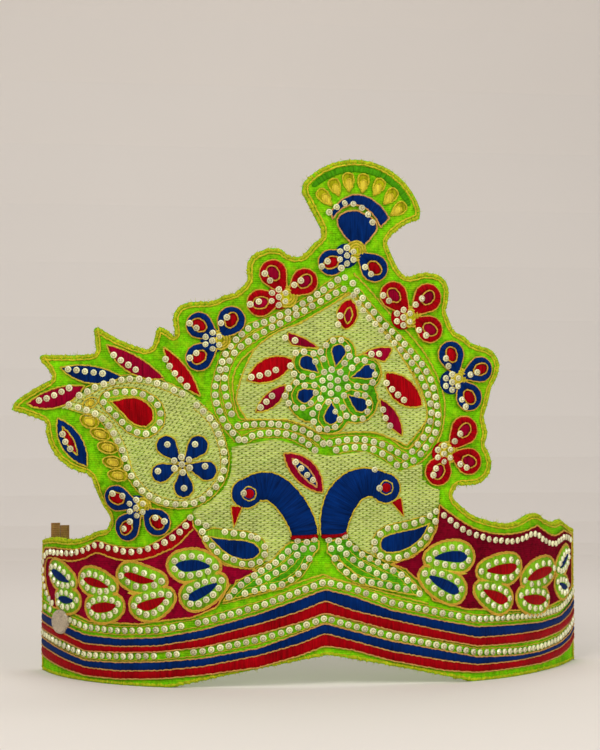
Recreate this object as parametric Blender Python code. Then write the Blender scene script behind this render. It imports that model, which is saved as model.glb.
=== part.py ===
"""Embroidered deity crown: a bent, cloth-covered board with raised satin pads and set stones.

The board is drawn flat and then bent. A flat place has two coordinates in millimetres: s, the
distance along the board from the middle of its front, and z, the height. The board's front is an
easy curve, its two arms curve back round the head, and above the arms the tall crest runs on
straight. Every pad is a solid of even thickness that follows the same bent board.
"""

import math
from collections import namedtuple

import bmesh
import bpy
from mathutils import Vector
from mathutils.geometry import delaunay_2d_cdt

MM = 0.001

# Driving sizes of the bent board, in millimetres
FRONT_RADIUS = 330.0
FRONT_HALF = 54.0
ARM_RADIUS = 88.0
ARM_END = 163.0
RIGHT_OPENS = 100.0
RIGHT_RADIUS = 160.0
RIGHT_END = 168.0
STRAIGHT_FROM = 58.0
STRAIGHT_FROM_ARM = 72.0
STRAIGHT_ABOVE = 96.0
ARM_FADE_START = 85.0
ARM_FADE_END = 110.0

# Layers, as distances in front of the board's face
BOARD = (-2.6, 0.0)
GROUND = (0.3, 0.8)
PAD = (0.3, 1.1)
MOTIF = (1.1, 1.8)
RAISED_PAD = (0.3, 1.8)
STONE_STRIP = (0.3, 1.6)

# Cut stones
STONE_RADIUS = 1.5
TABLE_RADIUS = 0.8
STONE_SIDES = 8
STONE_ROOT = 0.7
STONE_TOP = 2.2
CLUSTER_RING = 3.5
CLUSTER_COUNT = 6
DISC_SIDES = 12
CLUSTER_RIM = 0.3
STUD_LAYER = (2.0, 3.6)

# How finely the flat outlines are divided
ARC_STEP = 4.5
FRONT_CUT = 13.5
ARM_CUT = 9.0
FADE_CUT = 4.0
CUT_MARGIN = 0.01
MERGE_MARGIN = 1e-4
INSIDE_OUTLINES = 1

Corner = namedtuple("Corner", "s z bulge")
Lens = namedtuple("Lens", "name colour s0 z0 s1 z1 left right layer")
Pair = namedtuple("Pair", "name tip_s tip_z high_s high_z notch_s notch_z low_s low_z top foot")
Petal = namedtuple("Petal", "flower s z radius")
Flower = namedtuple("Flower", "name colour disc_s disc_z disc_radius stones_s stones_z")
Level = namedtuple("Level", "s blue_top red_top red_foot stones blue2_top red2_top red2_foot")

# The board's edge, clockwise from the lower left. Bulge is how far the edge to the next corner
# swells outwards from the straight line.
BOARD_EDGE = [Corner(*row) for row in (
    (-ARM_END, 0.0, 0.0), (-ARM_END, 61.8, 0.3), (-140.0, 64.3, -0.5), (-121.0, 64.8, -0.4),
    (-108.0, 69.0, 0.4), (-103.0, 69.2, 0.0), (-99.3, 74.5, -0.4), (-102.5, 80.5, 0.4),
    (-105.0, 93.5, 0.0), (-107.5, 95.8, 5.0), (-126.0, 116.0, 0.0), (-125.5, 118.6, -0.4),
    (-141.5, 124.2, 0.4), (-139.0, 128.8, 0.3), (-123.0, 138.2, 0.0), (-123.5, 140.5, 0.0),
    (-129.0, 147.3, 0.5), (-127.5, 149.0, -0.4), (-103.3, 149.4, 0.0), (-104.5, 160.4, 0.5),
    (-102.3, 161.2, -1.2), (-80.3, 151.2, 0.0), (-78.3, 152.2, 0.0), (-76.0, 160.8, 0.6),
    (-73.0, 160.9, 0.3), (-67.6, 156.2, 0.0), (-69.0, 165.0, 1.4), (-63.5, 172.1, 0.5),
    (-52.5, 172.6, -0.3), (-46.0, 175.6, 0.0), (-41.0, 176.6, 0.0), (-35.2, 181.8, 0.0),
    (-35.6, 187.8, 1.6), (-30.5, 195.2, 1.1), (-20.0, 196.4, -0.5), (-15.5, 193.2, -0.2),
    (-10.5, 193.4, 0.0), (-5.0, 199.8, 0.0), (-1.6, 202.0, 0.0), (-2.1, 206.1, 0.0),
    (-10.8, 222.5, 0.3), (-9.8, 227.2, 15.6), (44.1, 216.0, 0.2), (43.7, 211.2, -1.8),
    (28.0, 200.6, -0.3), (33.5, 188.5, 0.0), (36.5, 184.8, -0.4), (42.5, 186.0, 0.6),
    (51.0, 186.5, 1.6), (57.9, 180.0, 0.6), (56.4, 169.6, 0.0), (60.2, 160.6, -0.2),
    (65.5, 158.2, 0.0), (68.8, 155.2, -0.3), (77.5, 152.8, 1.2), (83.2, 145.0, 0.8),
    (79.0, 134.8, 0.3), (75.2, 121.6, -0.3), (77.1, 114.3, 0.3), (75.4, 108.3, 0.5),
    (79.0, 100.5, 2.4), (71.5, 90.2, 0.3), (62.0, 90.0, -0.3), (59.4, 84.5, -0.4),
    (70.0, 75.9, -0.6), (89.0, 71.4, -0.8), (107.5, 74.6, 0.2), (112.5, 75.4, 0.0),
    (118.2, 74.4, -0.4), (126.0, 71.4, -0.3), (136.0, 69.7, 0.0), (142.8, 71.0, 0.0),
    (147.0, 69.8, 0.0), (157.0, 66.6, 0.0), (RIGHT_END, 65.0, 0.0),
    (RIGHT_END, 0.0, 0.0), (70.0, 0.0, -0.6), (1.0, 14.4, -0.6), (-70.0, 0.0, 0.0))]

# Heights of the stripes along the band. Between two stations a height is read on a straight line.
BAND = [Level(*row) for row in (
    (-160.0, 28.0, 23.8, 20.2, 18.2, 16.2, 12.2, 7.8),
    (-145.0, 26.6, 22.2, 18.8, 16.6, 14.5, 10.8, 6.0),
    (-130.0, 24.2, 20.3, 16.9, 14.5, 12.2, 8.6, 4.2),
    (-115.0, 21.4, 17.3, 13.9, 12.2, 9.7, 6.5, 2.7),
    (-95.0, 21.0, 17.4, 14.7, 12.9, 10.2, 6.4, 2.7),
    (-75.0, 22.3, 18.6, 15.9, 14.1, 11.5, 7.6, 3.9),
    (-55.0, 26.2, 22.3, 18.4, 16.6, 13.5, 9.8, 6.0),
    (-30.0, 33.2, 28.7, 24.2, 21.7, 18.0, 14.7, 9.4),
    (-12.0, 39.6, 34.1, 29.2, 27.1, 24.4, 19.7, 14.4),
    (-0.5, 43.8, 38.7, 33.2, 30.9, 28.6, 24.1, 18.5),
    (12.0, 40.6, 34.2, 29.9, 27.2, 25.0, 20.6, 16.5),
    (30.0, 33.9, 29.7, 24.8, 22.3, 20.1, 15.4, 11.2),
    (55.0, 28.3, 23.7, 19.6, 16.8, 14.9, 10.4, 6.0),
    (72.0, 25.0, 20.0, 16.1, 13.1, 11.2, 7.6, 4.1),
    (100.0, 24.2, 19.7, 15.5, 11.7, 9.8, 7.4, 4.2),
    (117.5, 23.6, 19.7, 15.5, 11.8, 9.9, 7.8, 4.0),
    (139.8, 24.6, 20.9, 17.1, 13.5, 11.6, 9.2, 5.2),
    (155.5, 28.2, 23.8, 19.6, 16.8, 14.4, 11.7, 7.6),
    (165.0, 31.5, 27.2, 23.2, 20.4, 18.0, 15.2, 11.3))]
STRIPE_END = 160.0
RIGHT_STRIPE_END = 165.0
STRIPE_GAP = 0.15
STONE_ROW_RISE = 3.4
STONE_ROW_WIDTH = 3.0

# The two dark red fields of the arms, the pale grounds and the other plain shapes
FIELD_LEFT = [Corner(*row) for row in (
    (-60.6, 77.6, 0.0), (-59.2, 72.0, 0.0), (-52.0, 61.5, -0.8), (-45.4, 54.8, 0.0),
    (-36.0, 52.8, 0.0), (-44.0, 47.3, 0.0), (-49.0, 36.2, 0.0), (-60.0, 31.4, -0.3),
    (-85.0, 27.9, 0.0), (-112.0, 27.6, 0.0), (-128.0, 31.6, 0.0), (-142.5, 31.6, 0.0),
    (-153.5, 38.0, 0.8), (-158.5, 52.0, 0.8), (-154.0, 58.9, 0.0), (-140.0, 59.8, -0.2),
    (-122.0, 59.9, -0.5), (-108.5, 64.4, 0.3), (-104.0, 63.9, -0.9), (-82.0, 62.4, -1.4))]
FIELD_RIGHT = [Corner(*row) for row in (
    (53.0, 81.2, -0.6), (70.0, 70.3, -0.9), (90.0, 66.7, -0.9), (114.8, 69.7, -0.2),
    (127.0, 64.9, -0.3), (135.0, 63.8, -0.2), (145.8, 65.6, 0.0), (160.0, 62.8, 0.0),
    (160.0, 37.4, 0.0), (148.0, 32.9, 0.0), (120.0, 29.6, 0.0), (95.0, 30.9, -0.2),
    (66.0, 33.2, -0.3), (50.0, 37.6, 0.0), (44.0, 46.8, 0.6), (37.0, 52.2, 0.0),
    (29.8, 54.7, 0.0), (40.0, 57.6, 0.0), (47.5, 63.0, 0.0), (51.5, 70.0, 0.0))]
HEART_GROUND = [Corner(*row) for row in (
    (11.0, 177.2, 0.9), (32.0, 153.0, 0.8), (45.6, 130.0, 0.9), (47.0, 119.5, 0.4),
    (37.3, 107.8, -0.6), (22.0, 113.8, -0.3), (6.5, 113.4, 0.3), (-3.0, 113.4, -0.5),
    (-18.0, 119.6, 0.0), (-36.0, 119.8, 0.5), (-40.9, 129.0, 1.2), (-32.5, 151.8, 1.6),
    (-13.0, 163.0, 0.0))]
BIRD_GROUND = [Corner(*row) for row in (
    (-59.0, 79.0, -1.0), (-45.0, 90.0, -1.4), (-42.5, 107.6, 0.0), (-23.0, 111.2, 0.6),
    (-5.0, 104.6, 0.0), (2.0, 103.6, 0.0), (18.0, 105.6, 0.3), (34.0, 96.4, 0.0),
    (44.6, 100.0, 0.0), (44.6, 93.0, -1.0), (53.0, 88.0, 0.0), (52.6, 81.0, 0.0),
    (40.0, 74.8, 0.0), (22.6, 71.2, 0.0), (19.4, 60.0, 0.0), (10.6, 68.4, 0.0),
    (9.6, 71.0, 0.0), (-1.4, 68.9, 0.0), (-16.6, 68.9, 0.0), (-22.8, 59.4, 0.0),
    (-27.0, 68.0, 0.0), (-44.0, 72.8, 0.0))]
PAISLEY_GROUND = [Corner(*row) for row in (
    (-118.5, 125.4, 1.6), (-92.0, 139.2, 1.2), (-67.0, 134.8, 1.6), (-50.4, 120.6, 1.6),
    (-44.6, 102.6, 1.6), (-52.2, 86.4, 1.6), (-69.4, 80.9, 1.0), (-83.6, 86.6, 0.0),
    (-91.0, 105.0, 0.6), (-100.0, 119.4, 0.0))]
NECK_LEFT = [Corner(*row) for row in (
    (-15.4, 69.0, -2.6), (-26.0, 84.8, -1.0), (-30.6, 81.4, 0.6), (-36.0, 79.9, 2.4),
    (-41.9, 88.0, 2.4), (-34.0, 95.7, 1.8), (-19.0, 94.6, 2.6), (-6.4, 80.6, 0.8),
    (-4.2, 68.8, 0.0))]
NECK_RIGHT = [Corner(*row) for row in (
    (-1.0, 68.8, 0.6), (0.6, 84.6, 2.0), (12.4, 96.8, 1.6), (26.0, 97.8, 1.9),
    (33.8, 88.5, 2.2), (27.6, 82.3, 1.0), (20.6, 86.2, -1.0), (15.8, 86.2, -2.6),
    (8.8, 70.3, 0.0))]
BEAK_LEFT = [Corner(*row) for row in (
    (-43.4, 79.4, 0.0), (-38.6, 79.0, 0.0), (-41.5, 72.6, 0.0))]
BEAK_RIGHT = [Corner(*row) for row in (
    (31.0, 81.6, 0.0), (34.4, 83.4, 0.0), (35.8, 76.4, 0.0))]
COLLAR_LEFT = [Corner(*row) for row in (
    (-15.6, 68.3, 0.0), (-4.0, 68.3, 0.0), (-4.0, 66.2, 0.0), (-15.6, 65.4, 0.0))]
COLLAR_RIGHT = [Corner(*row) for row in (
    (-1.0, 68.3, 0.0), (8.6, 69.8, 0.0), (8.8, 67.2, 0.0), (-1.0, 65.8, 0.0))]
WING_LEFT = [Corner(*row) for row in (
    (-55.6, 69.6, 0.6), (-32.0, 68.4, 1.4), (-26.4, 60.4, 1.8), (-34.0, 54.6, 1.2),
    (-47.0, 58.6, 0.4))]
WING_RIGHT = [Corner(*row) for row in (
    (49.6, 75.0, 0.4), (43.4, 62.4, 1.8), (29.0, 56.2, 2.0), (21.4, 62.6, 1.8),
    (27.0, 70.2, 1.0))]
FAN_LEFT = [Corner(*row) for row in (
    (-16.6, 64.9, -0.5), (-24.6, 56.4, 0.6), (-40.4, 48.0, 0.6), (-46.4, 38.6, 0.4),
    (-21.0, 44.8, -1.0), (-3.4, 62.4, 0.0), (-3.2, 65.6, 0.0))]
FAN_RIGHT = [Corner(*row) for row in (
    (0.8, 65.4, 0.0), (9.4, 66.6, -0.5), (20.6, 56.4, 0.6), (37.4, 48.4, 0.6),
    (44.4, 40.0, 0.4), (18.0, 45.6, -1.0), (0.4, 60.0, 0.0))]
HEART_FLOWER = [Corner(*row) for row in (
    (-2.0, 150.4, 8.0), (13.4, 148.6, 7.6), (22.0, 134.4, 7.2), (9.6, 119.0, 5.4),
    (-6.2, 118.6, 7.2), (-13.8, 138.4, 7.6))]
PLUME_BULB = [Corner(*row) for row in (
    (10.0, 201.2, 0.0), (5.6, 209.6, 0.5), (9.6, 214.6, 2.6), (22.4, 210.0, 0.4),
    (23.8, 206.4, 0.0), (17.6, 201.6, 0.3))]
PLUME_ARC = [Corner(*row) for row in (
    (4.6, 212.0, 0.3), (8.6, 219.6, 4.0), (28.6, 211.2, 0.0), (25.6, 207.0, -6.6),
    (6.2, 211.6, 0.0))]

# Pointed leaves: a line from one end to the other, with a swell on its left and on its right
LENSES = [Lens(*row) for row in (
    ("crest_leaf_1", "magenta", -133.4, 127.6, -110.4, 136.0, 2.6, 3.4, PAD),
    ("crest_leaf_2", "blue", -119.4, 143.0, -94.2, 140.4, 2.4, 2.9, PAD),
    ("crest_leaf_3", "magenta", -98.6, 153.6, -74.6, 139.4, 2.4, 4.4, PAD),
    ("crest_leaf_4", "red", -73.0, 152.4, -56.4, 130.2, 2.8, 3.8, PAD),
    ("crest_leaf_5", "blue", -119.6, 120.4, -107.6, 99.6, 3.4, 6.2, PAD),
    ("heart_leaf_top", "red", 11.0, 174.4, 8.6, 160.4, 4.6, 5.0, MOTIF),
    ("heart_leaf_left_high", "magenta", -17.0, 157.2, -3.8, 153.0, 1.4, 1.2, MOTIF),
    ("heart_leaf_left_middle", "red", -34.0, 138.4, -17.4, 145.4, 4.6, 4.8, MOTIF),
    ("heart_leaf_left_low", "magenta", -31.4, 123.4, -19.4, 134.6, 2.6, 2.8, MOTIF),
    ("heart_leaf_right_high", "magenta", 17.4, 150.8, 30.4, 151.6, 1.7, 1.5, MOTIF),
    ("heart_leaf_right_middle", "red", 27.6, 140.8, 44.4, 126.6, 3.2, 6.2, MOTIF),
    ("heart_leaf_right_low", "magenta", 25.4, 129.0, 35.0, 112.6, 1.8, 2.8, MOTIF),
    ("bird_leaf", "red", -18.6, 105.0, -2.4, 87.4, 5.2, 3.3, MOTIF))]

# Pairs of leaves on the fields: both grow from one tip, and a notch parts their round ends
PAIR_END_SWELL = 1.6
PAIRS = [Pair(*row) for row in (
    ("field_leaves_left_1", -46.4, 51.6, -72.5, 53.2, -68.6, 46.6, -68.2, 40.6, 7.4, 7.8),
    ("field_leaves_left_2", -71.4, 43.8, -98.0, 48.2, -93.6, 41.4, -92.2, 35.6, 7.6, 8.4),
    ("field_leaves_left_3", -97.2, 40.2, -122.6, 46.6, -117.6, 40.0, -116.6, 34.0, 6.6, 8.8),
    ("field_leaves_left_4", -121.8, 41.4, -151.6, 50.6, -143.0, 42.8, -141.6, 36.6, 5.0, 5.6),
    ("field_leaves_right_1", 44.6, 55.6, 72.0, 57.0, 69.6, 49.6, 69.4, 42.6, 7.0, 8.4),
    ("field_leaves_right_2", 71.8, 48.6, 101.8, 52.8, 97.6, 45.6, 97.0, 39.6, 7.0, 9.0),
    ("field_leaves_right_3", 101.2, 45.6, 134.0, 50.4, 129.6, 44.0, 130.0, 37.6, 7.4, 9.0),
    ("field_leaves_right_4", 133.6, 44.0, 156.0, 54.0, 153.4, 46.2, 155.0, 39.4, 5.8, 6.6))]
PAISLEY_DROP = [Corner(*row) for row in (
    (-96.2, 127.6, 0.6), (-86.0, 130.2, 2.6), (-75.6, 123.0, 2.0), (-79.4, 115.4, 1.0),
    (-87.0, 117.6, 0.4))]
PAISLEY_FLOWER = [Corner(*row) for row in (
    (-64.5, 103.4, 0.0), (-65.8, 108.4, 0.6), (-70.4, 112.0, 1.6), (-75.0, 107.4, 1.0),
    (-70.6, 102.8, 0.0), (-68.6, 100.4, 0.0), (-77.0, 99.6, 1.2), (-77.8, 93.4, 1.0),
    (-72.8, 91.8, 0.8), (-67.2, 96.8, 0.0), (-66.6, 95.0, 0.4), (-68.4, 87.8, 1.8),
    (-60.4, 86.8, 1.4), (-61.4, 94.4, 0.0), (-59.2, 96.2, 0.0), (-55.6, 92.2, 1.4),
    (-49.2, 94.8, 1.8), (-55.0, 101.6, 0.6), (-60.4, 98.8, 0.0), (-60.6, 102.6, 0.0),
    (-54.0, 104.4, 1.8), (-56.6, 111.6, 1.4), (-61.8, 109.4, 0.4))]

# Flowers of the edge: petals are drops that run out from the flower's middle to a round end
FLOWERS = [Flower(*row) for row in (
    ("flower_top", "blue", 13.6, 196.0, 4.4, 9.2, 193.8),
    ("flower_upper_left", "red", -17.8, 175.0, 4.6, -21.5, 174.8),
    ("flower_upper_right", "red", 39.0, 166.6, 4.6, 35.4, 166.2),
    ("flower_left", "blue", -47.4, 155.6, 4.2, -51.0, 155.2),
    ("flower_right", "blue", 62.0, 138.8, 4.6, 58.8, 137.0),
    ("flower_lower_right", "red", 56.6, 105.0, 4.8, 54.8, 104.4),
    ("flower_lower_left", "blue", -82.6, 80.6, 4.0, -85.2, 80.4))]
PETALS = [Petal(*row) for row in (
    ("flower_top", 2.2, 190.6, 5.8), ("flower_top", 22.0, 188.4, 6.2),
    ("flower_upper_left", -24.0, 185.6, 6.0), ("flower_upper_left", -9.8, 182.0, 5.8),
    ("flower_upper_left", -29.6, 172.2, 6.0),
    ("flower_upper_right", 31.0, 176.2, 6.2), ("flower_upper_right", 47.2, 175.4, 6.4),
    ("flower_upper_right", 48.2, 161.0, 6.0),
    ("flower_left", -57.0, 162.2, 5.8), ("flower_left", -42.6, 164.4, 6.2),
    ("flower_left", -57.0, 147.8, 6.0),
    ("flower_right", 58.6, 149.6, 6.2), ("flower_right", 73.0, 143.0, 5.8),
    ("flower_right", 67.4, 130.2, 6.2),
    ("flower_lower_right", 65.0, 115.0, 6.4), ("flower_lower_right", 67.2, 100.8, 6.0),
    ("flower_lower_right", 52.2, 96.2, 6.2),
    ("flower_lower_left", -94.4, 84.6, 5.8), ("flower_lower_left", -90.4, 71.2, 6.0),
    ("flower_lower_left", -75.8, 73.8, 6.0))]

# The round flat stone near the left end, and the two closing tabs inside it
STUD_S = -136.6
STUD_Z = 25.6
STUD_RADIUS = 5.2
STUD_TABLE_RADIUS = 4.4
STUD_SIDES = 20
TAB_S = -157.0
TAB_THICKNESS = 1.2
TAB_WIDTH = 4.2
TAB_FOOT = 46.0
TAB_GAP = 0.3
TAB_TOPS = (70.4, 69.2)

COLOURS = {
    "cloth": ((0.19, 0.52, 0.02), 0.85),
    "green": ((0.16, 0.46, 0.03), 0.6),
    "blue": ((0.004, 0.02, 0.17), 0.45),
    "red": ((0.42, 0.004, 0.01), 0.45),
    "magenta": ((0.24, 0.003, 0.03), 0.5),
    "maroon": ((0.2, 0.002, 0.03), 0.6),
    "cream": ((0.55, 0.62, 0.2), 0.7),
    "glass": ((0.72, 0.69, 0.56), 0.2),
    "horn": ((0.5, 0.36, 0.24), 0.35),
    "tab": ((0.18, 0.09, 0.04), 0.6)}


def clear_scene():
    """Remove whatever the scene holds."""
    for thing in list(bpy.data.objects):
        bpy.data.objects.remove(thing, do_unlink=True)


def material(colour):
    """One plain finish, made once for each colour name."""
    if colour in bpy.data.materials:
        return bpy.data.materials[colour]
    made = bpy.data.materials.new(colour)
    made.use_nodes = True
    shader = made.node_tree.nodes["Principled BSDF"]
    rgb, roughness = COLOURS[colour]
    shader.inputs["Base Color"].default_value = (*rgb, 1.0)
    shader.inputs["Roughness"].default_value = roughness
    shader.inputs["Metallic"].default_value = 0.0
    made.diffuse_color = (*rgb, 1.0)
    return made


def ease(t):
    """Smooth step from 0 to 1."""
    t = min(max(t, 0.0), 1.0)
    return t * t * (3.0 - 2.0 * t)


def plan(s, bent):
    """Place and heading of the board seen from above, with its arms bent or running straight.

    The left arm bends evenly to its end. The right arm opens towards its end.
    """
    side = math.copysign(1.0, s)
    front = min(abs(s), FRONT_HALF) / FRONT_RADIUS
    x = FRONT_RADIUS * math.sin(front)
    y = FRONT_RADIUS * (1.0 - math.cos(front))
    over = max(abs(s) - FRONT_HALF, 0.0)
    heading = front
    if bent:
        loose = max(s - RIGHT_OPENS, 0.0)
        for run, radius in ((over - loose, ARM_RADIUS), (loose, RIGHT_RADIUS)):
            after = heading + run / radius
            x += radius * (math.sin(after) - math.sin(heading))
            y += radius * (math.cos(heading) - math.cos(after))
            heading = after
    else:
        x += over * math.cos(front)
        y += over * math.sin(front)
    return Vector((side * x, y)), Vector((math.cos(heading), side * math.sin(heading)))


def wall(s, z, out):
    """Point of the bent board at the flat place s, z, standing out from its face, in metres."""
    far = ease((abs(s) - ARM_FADE_START) / (ARM_FADE_END - ARM_FADE_START))
    start = STRAIGHT_FROM + far * (STRAIGHT_FROM_ARM - STRAIGHT_FROM)
    straight = ease((z - start) / (STRAIGHT_ABOVE - start))
    bent_place, bent_heading = plan(s, True)
    flat_place, flat_heading = plan(s, False)
    place = bent_place.lerp(flat_place, straight)
    heading = bent_heading.lerp(flat_heading, straight).normalized()
    return Vector((place.x + out * heading.y, place.y - out * heading.x, z)) * MM


def round_off(corners):
    """Points of a closed flat outline whose stretches swell into arcs."""
    points = []
    for here, after in zip(corners, corners[1:] + corners[:1]):
        ds, dz = after.s - here.s, after.z - here.z
        chord = math.hypot(ds, dz)
        points.append((here.s, here.z))
        if not here.bulge:
            continue
        size = abs(here.bulge)
        radius = (chord * chord / 4.0 + size * size) / (2.0 * size)
        half = 2.0 * math.atan2(size, chord / 2.0)
        steps = max(2, math.ceil(2.0 * half * radius / ARC_STEP))
        for step in range(1, steps):
            angle = half * (2.0 * step / steps - 1.0)
            along = radius * math.sin(angle) + chord / 2.0
            away = radius * math.cos(angle) - (radius - size)
            away *= math.copysign(1.0, here.bulge)
            points.append((here.s + (along * ds - away * dz) / chord,
                           here.z + (along * dz + away * ds) / chord))
    return points


def circle(s, z, radius, sides):
    """Points of a flat circle, clockwise."""
    turn = -2.0 * math.pi / sides
    return [(s + radius * math.cos(turn * k), z + radius * math.sin(turn * k))
            for k in range(sides)]


def drop(root, petal):
    """A drop: two straight sides from its root, each touching its round end."""
    ds, dz = petal.s - root[0], petal.z - root[1]
    reach = math.hypot(ds, dz)
    heading = math.atan2(dz, ds)
    spread = math.acos(petal.radius / reach)
    steps = math.ceil(2.0 * (math.pi - spread) * petal.radius / ARC_STEP)
    start = heading + math.pi - spread
    turn = 2.0 * (math.pi - spread) / steps
    end = [(petal.s + petal.radius * math.cos(start - turn * k),
            petal.z + petal.radius * math.sin(start - turn * k)) for k in range(steps + 1)]
    return [root] + end


def cut_places():
    """The places along the board, on both arms, where every outline is divided."""
    places = [0.0]
    place = FRONT_CUT
    while place < RIGHT_END:
        places += [place, -place]
        place += FRONT_CUT if place < FRONT_HALF - CUT_MARGIN else ARM_CUT
    return places


def cut_heights():
    """The heights, where the bend fades, at which every outline is divided."""
    count = round((STRAIGHT_ABOVE - STRAIGHT_FROM) / FADE_CUT)
    step = (STRAIGHT_ABOVE - STRAIGHT_FROM) / count
    return [STRAIGHT_FROM + step * k for k in range(count + 1)]


def divide(flat, faces, place, direction):
    """Cut some faces of a flat shape along one straight line."""
    pieces = {piece for face in faces for piece in (face, *face.edges, *face.verts)}
    bmesh.ops.bisect_plane(flat, geom=list(pieces), dist=MERGE_MARGIN, plane_co=place,
                           plane_no=direction)


def merged(outlines):
    """One flat face that covers all the outlines, which overlap."""
    corners = [Vector(point) for outline in outlines for point in outline]
    loops, first = [], 0
    for outline in outlines:
        loops.append(list(range(first, first + len(outline))))
        first += len(outline)
    places, _, faces, *_ = delaunay_2d_cdt(corners, [], loops, INSIDE_OUTLINES, MERGE_MARGIN)
    flat = bmesh.new()
    verts = [flat.verts.new((place.x, 0.0, place.y)) for place in places]
    for face in faces:
        flat.faces.new([verts[k] for k in face])
    bmesh.ops.dissolve_faces(flat, faces=flat.faces[:])
    return flat


def flat_triangles(outlines):
    """The outlines as flat triangles, cut wherever the board bends."""
    flat = merged(outlines)
    low, high = (end(vert.co.x for vert in flat.verts) for end in (min, max))
    foot, top = (end(vert.co.z for vert in flat.verts) for end in (min, max))
    for place in cut_places():
        if low + CUT_MARGIN < place < high - CUT_MARGIN:
            divide(flat, flat.faces, (place, 0.0, 0.0), (1.0, 0.0, 0.0))
    for height in cut_heights():
        if foot + CUT_MARGIN < height < top - CUT_MARGIN:
            arms = [face for face in flat.faces if abs(face.calc_center_median().x) > FRONT_HALF]
            divide(flat, arms, (0.0, 0.0, height), (0.0, 0.0, 1.0))
    bmesh.ops.triangulate(flat, faces=flat.faces[:])
    flat.verts.index_update()
    places = [(vert.co.x, vert.co.z) for vert in flat.verts]
    faces = [[vert.index for vert in face.verts] for face in flat.faces]
    rim = [[vert.index for vert in edge.verts] for edge in flat.edges if len(edge.link_faces) == 1]
    flat.free()
    return places, faces, rim


def sheet(name, outlines, layer, colour):
    """A solid of even thickness on the bent board, inside the outlines."""
    solid = bmesh.new()
    places, faces, rim = flat_triangles(outlines)
    back = [solid.verts.new(wall(s, z, layer[0])) for s, z in places]
    face = [solid.verts.new(wall(s, z, layer[1])) for s, z in places]
    for corners in faces:
        solid.faces.new([face[k] for k in corners])
        solid.faces.new([back[k] for k in reversed(corners)])
    for a, b in rim:
        solid.faces.new([back[a], back[b], face[b], face[a]])
    return finish(name, solid, colour)


def add_stone(solid, s, z, radius, table, sides, layer):
    """Add a cut stone: a round foot, sloping sides and a flat table."""
    rings = []
    for size, out in ((radius, layer[0]), (table, layer[1])):
        across = wall(s + 0.5, z, out) - wall(s - 0.5, z, out)
        across = across.normalized() * size * MM
        middle = wall(s, z, out)
        turn = 2.0 * math.pi / sides
        rings.append([solid.verts.new(middle + across * math.cos(turn * k)
                                      + Vector((0.0, 0.0, size * MM * math.sin(turn * k))))
                      for k in range(sides)])
    foot, top = rings
    solid.faces.new(reversed(foot))
    solid.faces.new(top)
    for k in range(sides):
        after = (k + 1) % sides
        solid.faces.new([foot[k], foot[after], top[after], top[k]])


def finish(name, solid, colour):
    """Turn a mesh into a named object with its finish."""
    bmesh.ops.recalc_face_normals(solid, faces=solid.faces[:])
    mesh = bpy.data.meshes.new(name)
    solid.to_mesh(mesh)
    solid.free()
    made = bpy.data.objects.new(name, mesh)
    bpy.context.scene.collection.objects.link(made)
    mesh.materials.append(material(colour))
    return made


def join_to(body, other):
    """Fuse another shape, which only serves as a guide, into a body."""
    other.hide_render = True
    other.display_type = "WIRE"
    union = body.modifiers.new("union_" + other.name, "BOOLEAN")
    union.operation = "UNION"
    union.solver = "EXACT"
    union.object = other


def level(name, s):
    """Height of one line of the band at a place along it."""
    for low, high in zip(BAND, BAND[1:]):
        if s <= high.s:
            part = (s - low.s) / (high.s - low.s)
            return getattr(low, name) * (1.0 - part) + getattr(high, name) * part
    return getattr(BAND[-1], name)


def ribbon(name, top, foot, layer, colour):
    """A stripe along the band, between two of its lines."""
    stations = sorted([s for s in cut_places() if -STRIPE_END < s < RIGHT_STRIPE_END]
                      + [-STRIPE_END, RIGHT_STRIPE_END])
    upper = [(s, top(s) - STRIPE_GAP) for s in stations]
    lower = [(s, foot(s) + STRIPE_GAP) for s in reversed(stations)]
    return sheet(name, [upper + lower], layer, colour)


def build_band():
    """The two pairs of stripes and the two long rows of stones."""
    def line(name, rise=0.0):
        return lambda s: level(name, s) + rise
    half = STONE_ROW_WIDTH / 2.0
    first_row = STONE_ROW_RISE - half
    made = [ribbon("stripe_blue_upper", line("blue_top"), line("red_top"), PAD, "blue"),
            ribbon("stripe_red_upper", line("red_top"), line("red_foot"), PAD, "red"),
            ribbon("stripe_blue_lower", line("blue2_top"), line("red2_top"), PAD, "blue"),
            ribbon("stripe_red_lower", line("red2_top"), line("red2_foot"), PAD, "red"),
            ribbon("stone_row_upper", line("blue_top", first_row + STONE_ROW_WIDTH),
                   line("blue_top", first_row), STONE_STRIP, "glass"),
            ribbon("stone_row_lower", line("stones", half), line("stones", -half),
                   STONE_STRIP, "glass")]
    return made


def lens_outline(lens):
    """Corners of a pointed leaf."""
    return round_off([Corner(lens.s0, lens.z0, lens.left), Corner(lens.s1, lens.z1, lens.right)])


def clockwise(corners):
    """The same corners, taken clockwise, each with the swell of its own stretch."""
    area = sum(here.s * after.z - after.s * here.z
               for here, after in zip(corners, corners[1:] + corners[:1]))
    if area < 0.0:
        return corners
    turned = corners[::-1]
    return [Corner(here.s, here.z, after.bulge)
            for here, after in zip(turned, turned[1:] + turned[:1])]


def pair_outline(pair):
    """Corners of two leaves that share a tip."""
    corners = [Corner(pair.tip_s, pair.tip_z, pair.top),
               Corner(pair.high_s, pair.high_z, PAIR_END_SWELL),
               Corner(pair.notch_s, pair.notch_z, PAIR_END_SWELL),
               Corner(pair.low_s, pair.low_z, pair.foot)]
    return round_off(clockwise(corners))


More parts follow.
